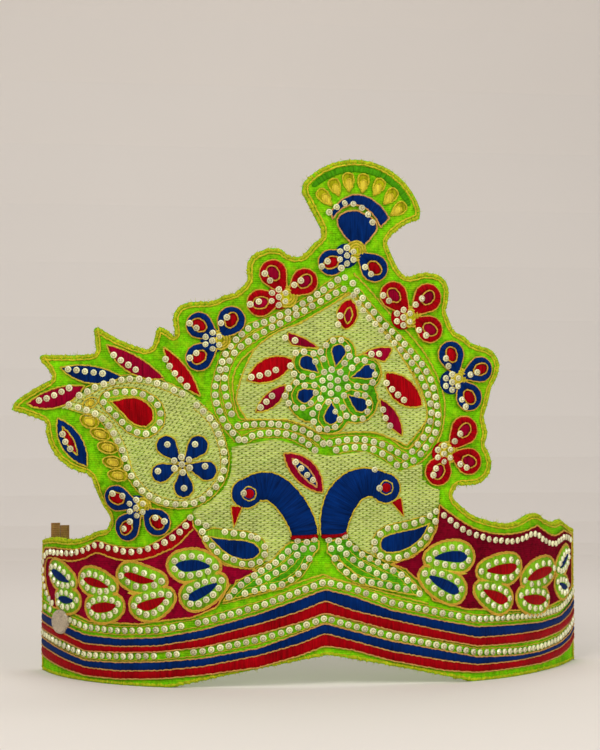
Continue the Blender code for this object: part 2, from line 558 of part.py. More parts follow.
def build_flower(flower):
    """Petals, a round middle and its stones, fused into one body."""
    middle = (flower.disc_s, flower.disc_z)
    rim = CLUSTER_RING + STONE_RADIUS + CLUSTER_RIM
    outlines = [circle(*middle, flower.disc_radius, DISC_SIDES),
                circle(flower.stones_s, flower.stones_z, rim, DISC_SIDES)]
    outlines += [drop(middle, petal) for petal in PETALS if petal.flower == flower.name]
    body = sheet(flower.name, outlines, PAD, flower.colour)
    solid = bmesh.new()
    turn = 2.0 * math.pi / CLUSTER_COUNT
    places = [(flower.stones_s, flower.stones_z)]
    places += [(flower.stones_s + CLUSTER_RING * math.sin(turn * k),
                flower.stones_z + CLUSTER_RING * math.cos(turn * k))
               for k in range(CLUSTER_COUNT)]
    for s, z in places:
        add_stone(solid, s, z, STONE_RADIUS, TABLE_RADIUS, STONE_SIDES, (STONE_ROOT, STONE_TOP))
    stones = finish(f"{flower.name}_stones", solid, "glass")
    join_to(body, stones)
    return [body, stones]


def build_tabs():
    """The closing tabs: small upright straps, side by side inside the left end of the board."""
    made = []
    near = BOARD[0] - TAB_GAP
    for number, top in enumerate(TAB_TOPS, start=1):
        low, high = TAB_S - TAB_THICKNESS / 2.0, TAB_S + TAB_THICKNESS / 2.0
        outline = [(low, TAB_FOOT), (low, top), (high, top), (high, TAB_FOOT)]
        made.append(sheet(f"closing_tab_{number}", [outline], (near - TAB_WIDTH, near), "tab"))
        near -= TAB_WIDTH + TAB_GAP
    return made


def build_stud():
    """The round flat stone at the left end of the band."""
    solid = bmesh.new()
    add_stone(solid, STUD_S, STUD_Z, STUD_RADIUS, STUD_TABLE_RADIUS, STUD_SIDES, STUD_LAYER)
    return finish("round_stone", solid, "horn")


def build_plain_pads():
    """The board, its grounds and the pads drawn by their corners."""
    table = (
        ("crown_board", BOARD_EDGE, BOARD, "cloth"),
        ("field_left", FIELD_LEFT, GROUND, "maroon"),
        ("field_right", FIELD_RIGHT, GROUND, "maroon"),
        ("heart_ground", HEART_GROUND, GROUND, "cream"),
        ("bird_ground", BIRD_GROUND, GROUND, "cream"),
        ("paisley_ground", PAISLEY_GROUND, GROUND, "cream"),
        ("bird_neck_left", NECK_LEFT, MOTIF, "blue"),
        ("bird_neck_right", NECK_RIGHT, MOTIF, "blue"),
        ("bird_beak_left", BEAK_LEFT, MOTIF, "red"),
        ("bird_beak_right", BEAK_RIGHT, MOTIF, "red"),
        ("bird_collar_left", COLLAR_LEFT, RAISED_PAD, "red"),
        ("bird_collar_right", COLLAR_RIGHT, RAISED_PAD, "red"),
        ("bird_wing_left", WING_LEFT, RAISED_PAD, "blue"),
        ("bird_wing_right", WING_RIGHT, RAISED_PAD, "blue"),
        ("bird_fan_left", FAN_LEFT, PAD, "green"),
        ("bird_fan_right", FAN_RIGHT, PAD, "green"),
        ("heart_flower", HEART_FLOWER, MOTIF, "green"),
        ("paisley_drop", PAISLEY_DROP, MOTIF, "red"),
        ("paisley_flower", PAISLEY_FLOWER, MOTIF, "blue"),
        ("plume_bulb", PLUME_BULB, PAD, "blue"),
        ("plume_arc", PLUME_ARC, PAD, "blue"))
    made = [sheet(name, [round_off(corners)], layer, colour)
            for name, corners, layer, colour in table]
    made += [sheet(lens.name, [lens_outline(lens)], lens.layer, lens.colour) for lens in LENSES]
    made += [sheet(pair.name, [pair_outline(pair)], MOTIF, "green") for pair in PAIRS]
    return made


def centre_on_origin(parts):
    """Hang every part on one empty, set so that the middle of the foot is the origin."""
    visible = [part for part in parts if not part.hide_render]
    corners = [vert.co for part in visible for vert in part.data.vertices]
    holder = bpy.data.objects.new("crown", None)
    bpy.context.scene.collection.objects.link(holder)
    holder.location = (-(min(c.x for c in corners) + max(c.x for c in corners)) / 2.0,
                       -(min(c.y for c in corners) + max(c.y for c in corners)) / 2.0, 0.0)
    for part in parts:
        part.parent = holder


def main():
    clear_scene()
    parts = build_plain_pads()
    parts += build_band()
    for flower in FLOWERS:
        parts += build_flower(flower)
    parts.append(build_stud())
    parts += build_tabs()
    centre_on_origin(parts)
    bpy.context.view_layer.update()


main()
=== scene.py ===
"""Looks of the embroidered deity crown: satin pads, gold threads, cut stones and pale stitches.

Places on the crown are flat ones in millimetres: s, the distance along the board from the middle
of its front, and z, the height. wall() puts them on the bent board, as the solids have it.
"""

import math

import bpy
import numpy as np
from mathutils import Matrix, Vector


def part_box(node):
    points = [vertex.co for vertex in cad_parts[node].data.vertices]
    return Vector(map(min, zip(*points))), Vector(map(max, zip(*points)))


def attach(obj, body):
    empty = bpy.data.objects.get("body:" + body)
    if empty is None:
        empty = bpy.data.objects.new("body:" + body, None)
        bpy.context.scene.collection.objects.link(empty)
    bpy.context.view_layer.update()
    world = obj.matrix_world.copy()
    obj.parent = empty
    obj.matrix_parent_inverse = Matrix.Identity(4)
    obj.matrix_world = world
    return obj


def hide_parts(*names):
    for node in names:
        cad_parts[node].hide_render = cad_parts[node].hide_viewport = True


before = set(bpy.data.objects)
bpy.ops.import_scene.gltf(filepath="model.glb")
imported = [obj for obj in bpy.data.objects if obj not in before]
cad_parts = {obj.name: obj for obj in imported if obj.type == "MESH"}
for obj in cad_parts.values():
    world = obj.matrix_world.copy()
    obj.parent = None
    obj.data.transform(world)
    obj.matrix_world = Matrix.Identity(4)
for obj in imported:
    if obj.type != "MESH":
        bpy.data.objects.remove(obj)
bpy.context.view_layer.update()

bl_info = {
    "name": "Deity crown looks",
    "version": (1, 0, 0),
    "blender": (4, 5, 0),
    "location": "View3D > Sidebar > Crown",
    "description": "Threads, pads, stones and finishes of an embroidered crown",
    "category": "Object"}

MM = 0.001
ROOT = "root"

# Begins the names of the finishes, so that they differ from the plain ones of the solids
FINISH_PREFIX = "crown_"

# The bent board: radii of its arcs, places on it in s, and the heights between which its arms
# turn from a bent run into a straight one
FRONT_RADIUS = 330.0
FRONT_HALF = 54.0
ARM_RADIUS = 88.0
ARM_END = 163.0
RIGHT_OPENS = 100.0
RIGHT_RADIUS = 160.0
RIGHT_END = 168.0
STRAIGHT_FROM = 58.0
STRAIGHT_FROM_ARM = 72.0
STRAIGHT_ABOVE = 96.0
ARM_FADE_START = 85.0
ARM_FADE_END = 110.0

# Threads, loose fibres and pads, whose flat underside lies a skirt below their foot
CORD_SIDES = 6
FIBRE_RADIUS = 0.13
FIBRE_LONG = (0.8, 2.4)
FIBRE_DEPTH = 2.3
PAD_SKIRT = 0.15
SHIFT_STEP = 0.4

# A cut stone: radius and height of each of its rings, and the finish of each band between them
STONE_RADII = np.array([0.0, 1.46, 1.58, 0.92, 0.66, 0.0])
STONE_RISES = np.array([0.0, 0.0, 0.35, 1.15, 1.22, 1.25])
# Painted light on the stones: the facets are pale glass lightened as painted highlight, the ring
# band is painted shade
STONE_BANDS = ["facet", "facet", "facet", "ring", "table"]
STONE_SIDES = 8
CUT_FINISHES = ("facet", "ring", "table")

# How far threads lie from the middle of a row of stones
ROW_THREAD = 1.85

# Short stitches in brick order, and dark specks of painted shade in the gaps at their ends
STITCH_ROW = 1.0
STITCH_STEP = 3.3
STITCH_WIDE = 1.15
SHADE_SPECK_LONG = 1.1
SHADE_SPECK_WIDE = 0.5
SHADE_SPECK_TURN = 12.0
# How far stitches stay within their ground, and away from leaves
GROUND_IN = 0.6
LEAF_CLEAR = 0.8
BIRD_LEAF_CLEAR = 1.0

# Satin: scale along the stitches, scale across them and detail of its three kinds of streaks, which
# paint sheen on the threads along with their own uneven tone
SATIN_STREAKS = ((90.0, 1900.0, 3.0), (130.0, 700.0, 2.0), (60.0, 60.0, 1.0))
CORD_TWIST = 0.7

# The stage, in metres and watts, and the camera, in millimetres and degrees
FLOOR_HALF = 4.0
FLOOR_FRONT = -2.0
SWEEP_FROM = 0.7
SWEEP_RADIUS = 0.6
SWEEP_TOP = 3.0
LIGHTS = (("key", (-0.7, -1.1, 1.1), 12.5, 0.7), ("fill", (0.9, -1.0, 0.6), 7.0, 0.8),
          ("top", (0.1, 0.2, 1.4), 4.0, 0.9))
LIGHTS_AIM = Vector((0.0, 0.0, 0.11))
SKY = (0.86, 0.87, 0.9, 1.0)
SKY_STRENGTH = 0.45
SENSOR_WIDTH = 36.0
CAMERA_LENS = 85.33
CAMERA_YAW = 8.0
CAMERA_PITCH = 1.43
CAMERA_SIDE = -11.7
CAMERA_DISTANCE = 800.0
CAMERA_HEIGHT = 120.0


def linear(red, green, blue):
    """A colour as seen on screen, 0 to 255, as linear light."""
    parts = [part / 255.0 for part in (red, green, blue)]
    return tuple(part / 12.92 if part < 0.04045 else ((part + 0.055) / 1.055) ** 2.4
                 for part in parts)


# ---- the bent board and lines on it


def ease(t):
    """Smooth step from 0 to 1: 3 t^2 - 2 t^3."""
    t = np.clip(t, 0.0, 1.0)
    return t * t * (3.0 - 2.0 * t)


def plan(s, bent):
    """Place and heading of the board from above: an arc, then tighter arcs or a straight run.

    The right arm opens towards its end.
    """
    side, away = np.sign(s), np.abs(s)
    front = np.minimum(away, FRONT_HALF) / FRONT_RADIUS
    over = np.maximum(away - FRONT_HALF, 0.0)
    x = FRONT_RADIUS * np.sin(front)
    y = FRONT_RADIUS * (1.0 - np.cos(front))
    heading = front
    if bent:
        loose = np.maximum(s - RIGHT_OPENS, 0.0)
        for run, radius in ((over - loose, ARM_RADIUS), (loose, RIGHT_RADIUS)):
            after = heading + run / radius
            x = x + radius * (np.sin(after) - np.sin(heading))
            y = y + radius * (np.cos(heading) - np.cos(after))
            heading = after
    else:
        x = x + over * np.cos(front)
        y = y + over * np.sin(front)
    return np.stack([side * x, y, np.cos(heading), side * np.sin(heading)], -1)


def wall(flat, out):
    """Points, in metres, that stand out from the board's face at flat places."""
    s, z = flat[..., 0], flat[..., 1]
    far = ease((np.abs(s) - ARM_FADE_START) / (ARM_FADE_END - ARM_FADE_START))
    start = STRAIGHT_FROM + far * (STRAIGHT_FROM_ARM - STRAIGHT_FROM)
    straight = ease((z - start) / (STRAIGHT_ABOVE - start))[..., None]
    place = plan(s, True) * (1.0 - straight) + plan(s, False) * straight
    size = np.hypot(place[..., 2], place[..., 3])
    x = place[..., 0] + out * place[..., 3] / size + SHIFT_X
    y = place[..., 1] - out * place[..., 2] / size + SHIFT_Y
    return np.stack([x, y, z + 0.0 * x], -1) * MM


BOARD_LOW, BOARD_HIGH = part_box("crown_board")
SHIFT_X = BOARD_HIGH.x / MM - float(plan(np.array(RIGHT_END), True)[0])
SHIFT_Y = BOARD_LOW.y / MM


def even(line, count, closed=False):
    """Places at even steps along a line of straight stretches."""
    line = np.vstack([line, line[:1]]) if closed else np.asarray(line, float)
    run = np.concatenate([[0.0], np.cumsum(np.hypot(*np.diff(line, axis=0).T))])
    at = np.linspace(0.0, run[-1], count + 1 if closed else count)
    at = at[:-1] if closed else at
    return np.stack([np.interp(at, run, line[:, 0]), np.interp(at, run, line[:, 1])], -1)


def length(line, closed=False):
    """Length of a line, in millimetres."""
    line = np.vstack([line, line[:1]]) if closed else line
    return float(np.hypot(*np.diff(line, axis=0).T).sum())


def smooth(points, step=0.5, closed=False):
    """Catmull-Rom curve through points, where a doubled point is a corner, in even steps."""
    p = np.array(points, float)
    ends = (p[-1:], p[:2]) if closed else (2.0 * p[:1] - p[1:2], 2.0 * p[-1:] - p[-2:-1])
    p = np.vstack([ends[0], p, ends[1]])
    t = np.linspace(0.0, 1.0, 12, endpoint=False)[None, :, None]
    a, b, c, d = (p[k:len(p) - 3 + k, None, :] for k in range(4))
    curve = 0.5 * (2.0 * b + (c - a) * t + (2.0 * a - 5.0 * b + 4.0 * c - d) * t ** 2
                   + (3.0 * b - a - 3.0 * c + d) * t ** 3)
    curve = curve.reshape(-1, 2)
    if not closed:
        curve = np.vstack([curve, p[-2:-1]])
    return even(curve, max(4, round(length(curve, closed) / step)), closed)


def arc(start, end, swell, count):
    """A circle's arc between two places that swells to the left of its way."""
    start, end = np.array(start, float), np.array(end, float)
    way = end - start
    chord = float(np.hypot(*way))
    half = 2.0 * math.atan(2.0 * (swell or 1e-4) / chord)
    radius = chord / 2.0 / math.sin(half)
    angle = half * np.linspace(-1.0, 1.0, count)[:, None]
    along = chord / 2.0 + radius * np.sin(angle)
    away = radius * (np.cos(angle) - math.cos(half))
    left = np.array([-way[1], way[0]])
    return start + (way * along + left * away) / chord


def circle(s, z, radius, count=32):
    """A flat circle."""
    turn = np.linspace(0.0, 2.0 * math.pi, count, endpoint=False)
    return np.stack([s + radius * np.cos(turn), z + radius * np.sin(turn)], -1)


def drop(root, end, radius, count=40):
    """A drop: two straight sides from its root that touch its round end."""
    root, end = np.array(root, float), np.array(end, float)
    reach = np.hypot(*(end - root))
    heading = math.atan2(*(end - root)[::-1])
    spread = math.acos(min(radius / reach, 1.0))
    turn = heading + np.linspace(math.pi - spread, spread - math.pi, count)
    round_end = end + radius * np.stack([np.cos(turn), np.sin(turn)], -1)
    return even(np.vstack([root[None], round_end]), count, True)


def round_off(corners, step=3.0):
    """A closed outline from corners (s, z, swell) whose stretches swell into arcs."""
    corners, line = list(corners), []
    for here, after in zip(corners, corners[1:] + corners[:1]):
        chord = math.hypot(after[0] - here[0], after[1] - here[1])
        line.append(arc(here[:2], after[:2], here[2], max(3, round(chord / step) + 2))[:-1])
    return np.vstack(line)


def sides(line, closed=False):
    """Unit directions to the left of a line, at each of its places."""
    if closed:
        way = np.roll(line, -1, 0) - np.roll(line, 1, 0)
    else:
        way = np.gradient(line, axis=0)
    way = way / np.maximum(np.hypot(way[:, 0], way[:, 1]), 1e-6)[:, None]
    return np.stack([-way[:, 1], way[:, 0]], -1)


def grown(line, by, middle=None):
    """A closed outline moved away from its middle by a distance."""
    middle = line.mean(0) if middle is None else np.array(middle)
    ray = line - middle
    size = np.hypot(ray[:, 0], ray[:, 1])[:, None]
    return middle + ray * np.maximum(size + by, 0.2) / size


def inside(places, outline):
    """Which places lie within a closed outline: an odd number of its sides lies to the right."""
    s, z = places[:, 0][:, None], places[:, 1][:, None]
    after = np.roll(outline, -1, 0)
    crosses = (outline[None, :, 1] > z) != (after[None, :, 1] > z)
    rise = np.where(after[:, 1] == outline[:, 1], 1e-9, after[:, 1] - outline[:, 1])
    at = outline[:, 0] + (z - outline[:, 1]) * (after[:, 0] - outline[:, 0]) / rise
    return (crosses & (s < at)).sum(1) % 2 == 1


# ---- pieces and their surfaces


class Piece:
    """One piece, put together from surfaces that each have their own finish."""

    def __init__(self, name):
        self.name, self.count, self.corner_count = name, 0, 0
        self.points, self.corners, self.starts = [], [], []
        self.places, self.slots, self.finishes = [], [], []

    def faces(self, corners, places, finish):
        """Take in faces of like size, as rows of point numbers, with each corner's place."""
        size = corners.shape[-1]
        corners = corners.reshape(-1, size)
        if finish not in self.finishes:
            self.finishes.append(finish)
        self.corners.append(corners.ravel())
        self.starts.append(self.corner_count + np.arange(len(corners)) * size)
        self.places.append(places.reshape(-1, 2))
        self.slots.append(np.full(len(corners), self.finishes.index(finish)))
        self.corner_count += corners.size

    def grids(self, points, uv, finish, round_rows=False, poles=False):
        """Take in like grids, each closed round its columns: faces run between its rows.

        With poles the end rows are drawn to a point. The finish is one name, or a list with a
        name for each band between two rows. Faces are turned so that the volume is positive.
        """
        count, rows, columns = points.shape[:3]
        index = np.arange(rows * columns).reshape(rows, columns)
        if poles:
            index[0], index[-1] = index[0, 0], index[-1, 0]
        index = np.hstack([index, index[:, :1]])
        if round_rows:
            index = np.vstack([index, index[:1]])
        quads = np.stack([index[:-1, :-1], index[1:, :-1], index[1:, 1:], index[:-1, 1:]], -1)
        marks = np.stack([uv[:, :-1, :-1], uv[:, 1:, :-1], uv[:, 1:, 1:], uv[:, :-1, 1:]], -2)
        flat = points.reshape(count, -1, 3)
        a, b, c, d = (flat[0] - flat[0].mean(0))[quads.reshape(-1, 4)].transpose(1, 0, 2)
        if (a * (np.cross(b, c) + np.cross(c, d))).sum() < 0.0:
            quads, marks = quads[..., ::-1], marks[..., ::-1, :]
        first = self.count + np.arange(count)[:, None, None] * rows * columns
        self.points.append(flat.reshape(-1, 3))
        self.count += count * rows * columns
        bands = finish if isinstance(finish, list) else [finish] * len(quads)
        for name in dict.fromkeys(bands):
            chosen = [k for k, band in enumerate(bands) if band == name]
            shape = quads[chosen].reshape(-1, 4)
            spots = marks[:, chosen].reshape(count, -1, 4, 2)
            double = shape == np.roll(shape, -1, 1)
            pinched = double.any(1)
            for part, size in ((~pinched, 4), (pinched, 3)):
                if part.any():
                    keep = ~double[part]
                    picked = shape[part][keep].reshape(-1, size)
                    self.faces(picked[None] + first, spots[:, part][:, keep], name)

    def make(self, slot, *nodes):
        """Turn the surfaces into an object that rides on the crown and stands for nodes."""
        corners = np.concatenate(self.corners)
        used, corners = np.unique(corners, return_inverse=True)
        points = np.vstack(self.points)[used]
        starts, slots = np.concatenate(self.starts), np.concatenate(self.slots)
        mesh = bpy.data.meshes.new(self.name)
        mesh.vertices.add(len(points))
        mesh.vertices.foreach_set("co", points.astype(np.float32).ravel())
        mesh.loops.add(len(corners))
        mesh.loops.foreach_set("vertex_index", corners.astype(np.int32).ravel())
        mesh.polygons.add(len(starts))
        mesh.polygons.foreach_set("loop_start", starts.astype(np.int32))
        for name in self.finishes:
            mesh.materials.append(bpy.data.materials[FINISH_PREFIX + name])
        mesh.polygons.foreach_set("material_index", slots.astype(np.int32))
        flat = np.isin(slots, [self.finishes.index(n) for n in self.finishes if n in CUT_FINISHES])
        mesh.polygons.foreach_set("use_smooth", ~flat)
        mesh.uv_layers.new(name="thread").data.foreach_set(
            "uv", (np.vstack(self.places) * MM).astype(np.float32).ravel())
        mesh.update(calc_edges=True)
        made = bpy.data.objects.new(self.name, mesh)
        bpy.context.scene.collection.objects.link(made)
        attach(made, ROOT)
        if nodes:
            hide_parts(*nodes)
        return made


def measure(line):
    """Distance along a line, at each of its places."""
    return np.concatenate([[0.0], np.cumsum(np.hypot(*np.diff(line, axis=0).T))])


def turned(flat, turn):
    """Thread places of flat ones: along stitches that are turned by degrees, and across them."""
    angle = math.radians(turn)
    s, z = flat[..., 0], flat[..., 1]
    return np.stack([s * math.cos(angle) + z * math.sin(angle),
                     z * math.cos(angle) - s * math.sin(angle)], -1)


def wrap(uv):
    """Thread places with the first column once more at the end."""
    return np.concatenate([uv, uv[:, :1]], 1)


def loft(piece, left, right, low, rise, finish, ends=(2.0, 2.0)):
    """A stuffed strip between two lines: z = low + rise (1 - v^2)^(1/2), v from side to side.

    Over the first and last few millimetres it sinks to its ends along quarter circles.
    """
    v = np.array([-1.0, -0.92, -0.72, -0.38, 0.0, 0.38, 0.72, 0.92, 1.0])
    middle = (left + right) / 2.0
    run = measure(middle)
    sink = np.clip(np.minimum(run / ends[0], (run[-1] - run) / ends[1]), 0.0, 1.0)
    sink = np.sqrt(1.0 - (1.0 - sink) ** 2)[:, None]
    half = (right - left)[:, None] / 2.0
    flat = middle[:, None] + half * (v[:, None] * (0.35 + 0.65 * sink[..., None]))
    high = low + rise * sink * np.sqrt(1.0 - v * v)[None]
    flat = np.concatenate([flat, flat[:, [8, 0]]], 1)
    out = np.concatenate([high, np.full((len(left), 2), low - PAD_SKIRT)], 1)
    reach = np.hypot(*half[:, 0].T)[:, None] * np.append(v, [1.0, -1.0])[None]
    uv = np.stack([reach, run[:, None] + 0.0 * reach], -1)
    flat = np.concatenate([flat[:1] * 0.0 + middle[0], flat, flat[:1] * 0.0 + middle[-1]], 0)
    out = np.concatenate([out[:1] * 0.0 + low, out, out[:1] * 0.0 + low], 0)
    uv = np.concatenate([uv[:1], uv, uv[-1:]], 0)
    piece.grids(wall(flat, out)[None], wrap(uv)[None], finish, poles=True)


def dome(piece, outline, low, rise, finish, turn=90.0, square=2.6, lean=0.0):
    """A stuffed pad: q runs from its middle to its edge, and z = low + rise (1 - q^square)^(1/2).

    With a lean its top rises by that much for each millimetre to the right, or to the left.
    """
    q = np.array([0.0, 0.3, 0.55, 0.75, 0.88, 0.96, 1.0, 1.0, 0.0])
    middle = outline.mean(0)
    flat = middle + q[:, None, None] * (outline - middle)[None]
    out = (low + rise * np.sqrt(1.0 - q ** square))[:, None]
    out = out + lean * flat[..., 0] - (lean * outline[:, 0]).min()
    out[-2:] = low - PAD_SKIRT
    uv = wrap(turned(flat, turn))
    piece.grids(wall(flat, out)[None], uv[None], finish, poles=True)


def ring(piece, inner, outer, low, rise, finish):
    """A stuffed ring between two closed outlines: z = low + rise (1 - v^2)^(1/2)."""
    v = np.array([-1.0, -0.9, -0.6, -0.2, 0.2, 0.6, 0.9, 1.0, 1.0, -1.0])
    middle, half = (inner + outer) / 2.0, (outer - inner) / 2.0
    flat = middle[None] + v[:, None, None] * half[None]
    out = low + rise * np.sqrt(1.0 - v * v)
    out[-2:] = low - PAD_SKIRT
    reach = v[:, None] * np.hypot(*half.T)[None]
    run = measure(np.vstack([middle, middle[:1]]))
    uv = np.stack([np.hstack([reach, reach[:, :1]]), run[None] + np.zeros((len(v), 1))], -1)
    uv = np.concatenate([uv, uv[:1]], 0)
    piece.grids(wall(flat, out[:, None])[None], uv[None], finish, round_rows=True)


def cord(piece, line, out, radius, finish, closed=False, stitch=1.5, waver=0.1, deep=1.0,
         rough=0.12):
    """A sewn thread along a line, pinched at every stitch: r = radius (0.74 + 0.26 |sin|)."""
    steps = max(6, round(length(line, closed) / (stitch / 3.0)))
    line = even(line, steps, closed)
    run = np.arange(len(line)) * stitch / 3.0
    side = sides(line, closed)
    chance = np.random.default_rng(len(line))
    stray = np.sin(run * 1.7 + 2.0 * np.sin(run * 0.37)) + chance.normal(0.0, 0.5, len(line))
    line = line + side * (waver * stray)[:, None]
    fat = radius * (0.74 + 0.26 * np.abs(np.sin(math.pi * run / stitch + 0.5)))[:, None]
    fat = fat * (1.0 + rough * chance.normal(0.0, 1.0, fat.shape)).clip(0.5, 1.5)
    turn = np.linspace(0.0, 2.0 * math.pi, CORD_SIDES, endpoint=False)[None]
    flat = line[:, None] + side[:, None] * (fat * np.cos(turn))[..., None]
    flat[..., 1] = np.maximum(flat[..., 1], 0.0)
    high = out + fat * deep * np.sin(turn)
    around = np.linspace(0.0, 2.0 * math.pi * radius, CORD_SIDES + 1)[None] + 0.9 * run[:, None]
    uv = np.stack([run[:, None] + 0.0 * around, around], -1)
    if closed:
        uv = np.concatenate([uv, uv[:1]], 0)
        piece.grids(wall(flat, high)[None], uv[None], finish, round_rows=True)
        return
    flat = np.concatenate([flat[:1] * 0.0 + line[0], flat, flat[:1] * 0.0 + line[-1]], 0)
    high = np.concatenate([high[:1] * 0.0 + out, high, high[:1] * 0.0 + out], 0)
    uv = np.concatenate([uv[:1], uv, uv[-1:]], 0)
    piece.grids(wall(flat, high)[None], uv[None], finish, poles=True)


def stones(piece, places, out):
    """Cut stones: a round foot, a girdle, eight facets, a ring of painted shade and a flat table.
    """
    size = bpy.context.scene.crown_sizes.stone
    places = np.array(places, float)
    count = len(places)
    chance = np.random.default_rng(count)
    turn = np.linspace(0.0, 2.0 * math.pi, STONE_SIDES, endpoint=False)
    turn = turn[None, None] + chance.uniform(0.0, 0.8, (count, 1, 1))
    radius = STONE_RADII[None, :, None] * size * chance.uniform(0.95, 1.04, (count, 1, 1))
    tilt = chance.uniform(-0.09, 0.09, (count, 1, 1, 2))
    offset = np.stack([radius * np.cos(turn), radius * np.sin(turn)], -1)
    high = out + STONE_RISES[None, :, None] * size + (offset * tilt).sum(-1)
    high = high + chance.uniform(-0.06, 0.06, (count, 1, 1))
    uv = offset + chance.uniform(0.0, 400.0, (count, 1, 1, 2))
    uv = np.concatenate([uv, uv[:, :, :1]], 2)
    piece.grids(wall(places[:, None, None] + offset, high), uv,
                STONE_BANDS, poles=True)


def stitches(piece, places, turn, long, wide, low, rise, finish):
    """Short stitches: ridges with a width of wide (1 - a^2)^(1/2) at a, which runs along them."""
    a = np.array([-1.0, -0.84, 0.84, 1.0])
    b = np.array([-1.0, -0.45, 0.45, 1.0])
    chance = np.random.default_rng(len(places))
    size = (len(places), 1, 1)
    angle = np.radians(turn + chance.uniform(-4.0, 4.0, size))
    taper = np.sqrt(1.0 - a * a)[None, :, None]
    stretch = chance.uniform(0.9, 1.1, size)
    along = a[None, :, None] * long / 2.0 * stretch + 0.0 * b
    beside = b[None, None] * wide / 2.0 * taper * stretch
    flat = np.stack([along * np.cos(angle) - beside * np.sin(angle),
                     along * np.sin(angle) + beside * np.cos(angle)], -1)
    flat = flat + places[:, None, None]
    high = low + rise * taper * (1.0 - b * b)[None, None] * stretch
    uv = np.stack([along, beside], -1) + chance.uniform(0.0, 400.0, (len(places), 1, 1, 2))
    uv = np.concatenate([uv, uv[:, :, :1]], 2)
    piece.grids(wall(flat, high), uv, finish, poles=True)


def fibres(piece, line, count, finish):
    """Loose fibres that stand out from a closed edge: thin three-sided cones."""
    chance = np.random.default_rng(count)
    at = chance.integers(0, len(line), count)
    foot, way = line[at], sides(line, True)[at]
    angle = np.arctan2(way[:, 1], way[:, 0]) + chance.normal(0.0, 0.7, count)
    long = chance.uniform(*FIBRE_LONG, count)
    part = np.array([0.0, 0.5, 1.0])[None, :, None]
    turn = np.linspace(0.0, 2.0 * math.pi, 3, endpoint=False)[None, None]
    thick = FIBRE_RADIUS * (1.0 - part * 0.8)
    along = part * long[:, None, None]
    across = thick * np.cos(turn)
    cos, sin = np.cos(angle)[:, None, None], np.sin(angle)[:, None, None]
    flat = np.stack([foot[:, 0, None, None] + along * cos - across * sin,
                     foot[:, 1, None, None] + along * sin + across * cos], -1)
    flat[..., 1] = np.maximum(flat[..., 1], 0.0)
    start = chance.uniform(-FIBRE_DEPTH, 0.0, (count, 1, 1))
    high = start + along * chance.uniform(-0.4, 0.4, (count, 1, 1)) + thick * np.sin(turn)
    flat = np.concatenate([flat[:, :1], flat, flat[:, -1:]], 1)
    high = np.concatenate([high[:, :1], high, high[:, -1:]], 1)
    uv = np.zeros((count, 5, 4, 2)) + np.arange(5)[None, :, None, None]
    piece.grids(wall(flat, high), uv, finish, poles=True)


# ---- finishes


class Wire:
    """One output of a material's nodes. Sums on it add Math nodes."""

    def __init__(self, web, socket):
        self.web, self.socket = web, socket

    def math(self, operation, *values):
        """One Math node on some values."""
        return self.web.node("ShaderNodeMath", {"operation": operation}, dict(enumerate(values)))

    def __add__(self, other):
        return self.math("ADD", self, other)

    def __sub__(self, other):
        return self.math("SUBTRACT", self, other)

    def __rsub__(self, other):
        return self.math("SUBTRACT", other, self)

    def __mul__(self, other):
        return self.math("MULTIPLY", self, other)

    __radd__, __rmul__ = __add__, __mul__


class Web:
    """The nodes of one finish."""

    def __init__(self, name):
        self.material = bpy.data.materials.new(FINISH_PREFIX + name)
        self.material.use_nodes = True
        self.tree = self.material.node_tree
        self.shader = self.tree.nodes["Principled BSDF"]

    def node(self, kind, settings=None, values=None, output=0):
        """Add a node: its settings first, then the numbers or wires of its inputs."""
        made = self.tree.nodes.new(kind)
        for key, value in (settings or {}).items():
            if key == "stops":
                for place, level in value:
                    stop = made.color_ramp.elements.new(place)
                    stop.color = (level, level, level, 1.0)
                made.color_ramp.elements.remove(made.color_ramp.elements[0])
                made.color_ramp.elements.remove(made.color_ramp.elements[-1])
            else:
                setattr(made, key, value)
        for key, value in (values or {}).items():
            self.feed(made.inputs[key], value)
        return Wire(self, made.outputs[output])

    def feed(self, socket, value):
        """Set a socket to a number, or link a wire to it."""
        if isinstance(value, Wire):
            self.tree.links.new(value.socket, socket)
        else:
            socket.default_value = value

    def surface(self, **values):
        """Set sockets of the shader, with spaces for underscores in their names."""
        for key, value in values.items():
            name = key.replace("_", " ").title().replace("Ior", "IOR")
            self.feed(self.shader.inputs[name], value)

    def thread(self):
        """The thread places: along the stitches, and across them, in metres."""
        uv = self.node("ShaderNodeUVMap", {"uv_map": "thread"})
        return [self.node("ShaderNodeSeparateXYZ", None, {0: uv}, output) for output in (0, 1)]

    def join(self, x, y, z=0.0):
        """A vector from three values."""
        return self.node("ShaderNodeCombineXYZ", None, {0: x, 1: y, 2: z})

    def noise(self, place, scale, detail=2.0):
        """Soft noise from 0 to 1."""
        return self.node("ShaderNodeTexNoise", None,
                         {"Vector": place, "Scale": scale, "Detail": detail})

    def blend(self, factor, first, second):
        """A colour between two."""
        return self.node("ShaderNodeMix", {"data_type": "RGBA"},
                         {0: factor, 6: first, 7: second}, 2)

    def bump(self, height, distance, strength=1.0):
        """A normal from a height."""
        return self.node("ShaderNodeBump", None,
                         {"Height": height, "Distance": distance, "Strength": strength})


def shade(colour, by):
    """A colour made lighter or darker, kept within range, with its alpha."""
    return tuple(min(max(part * by, 0.0), 1.0) for part in colour[:3]) + (1.0,)


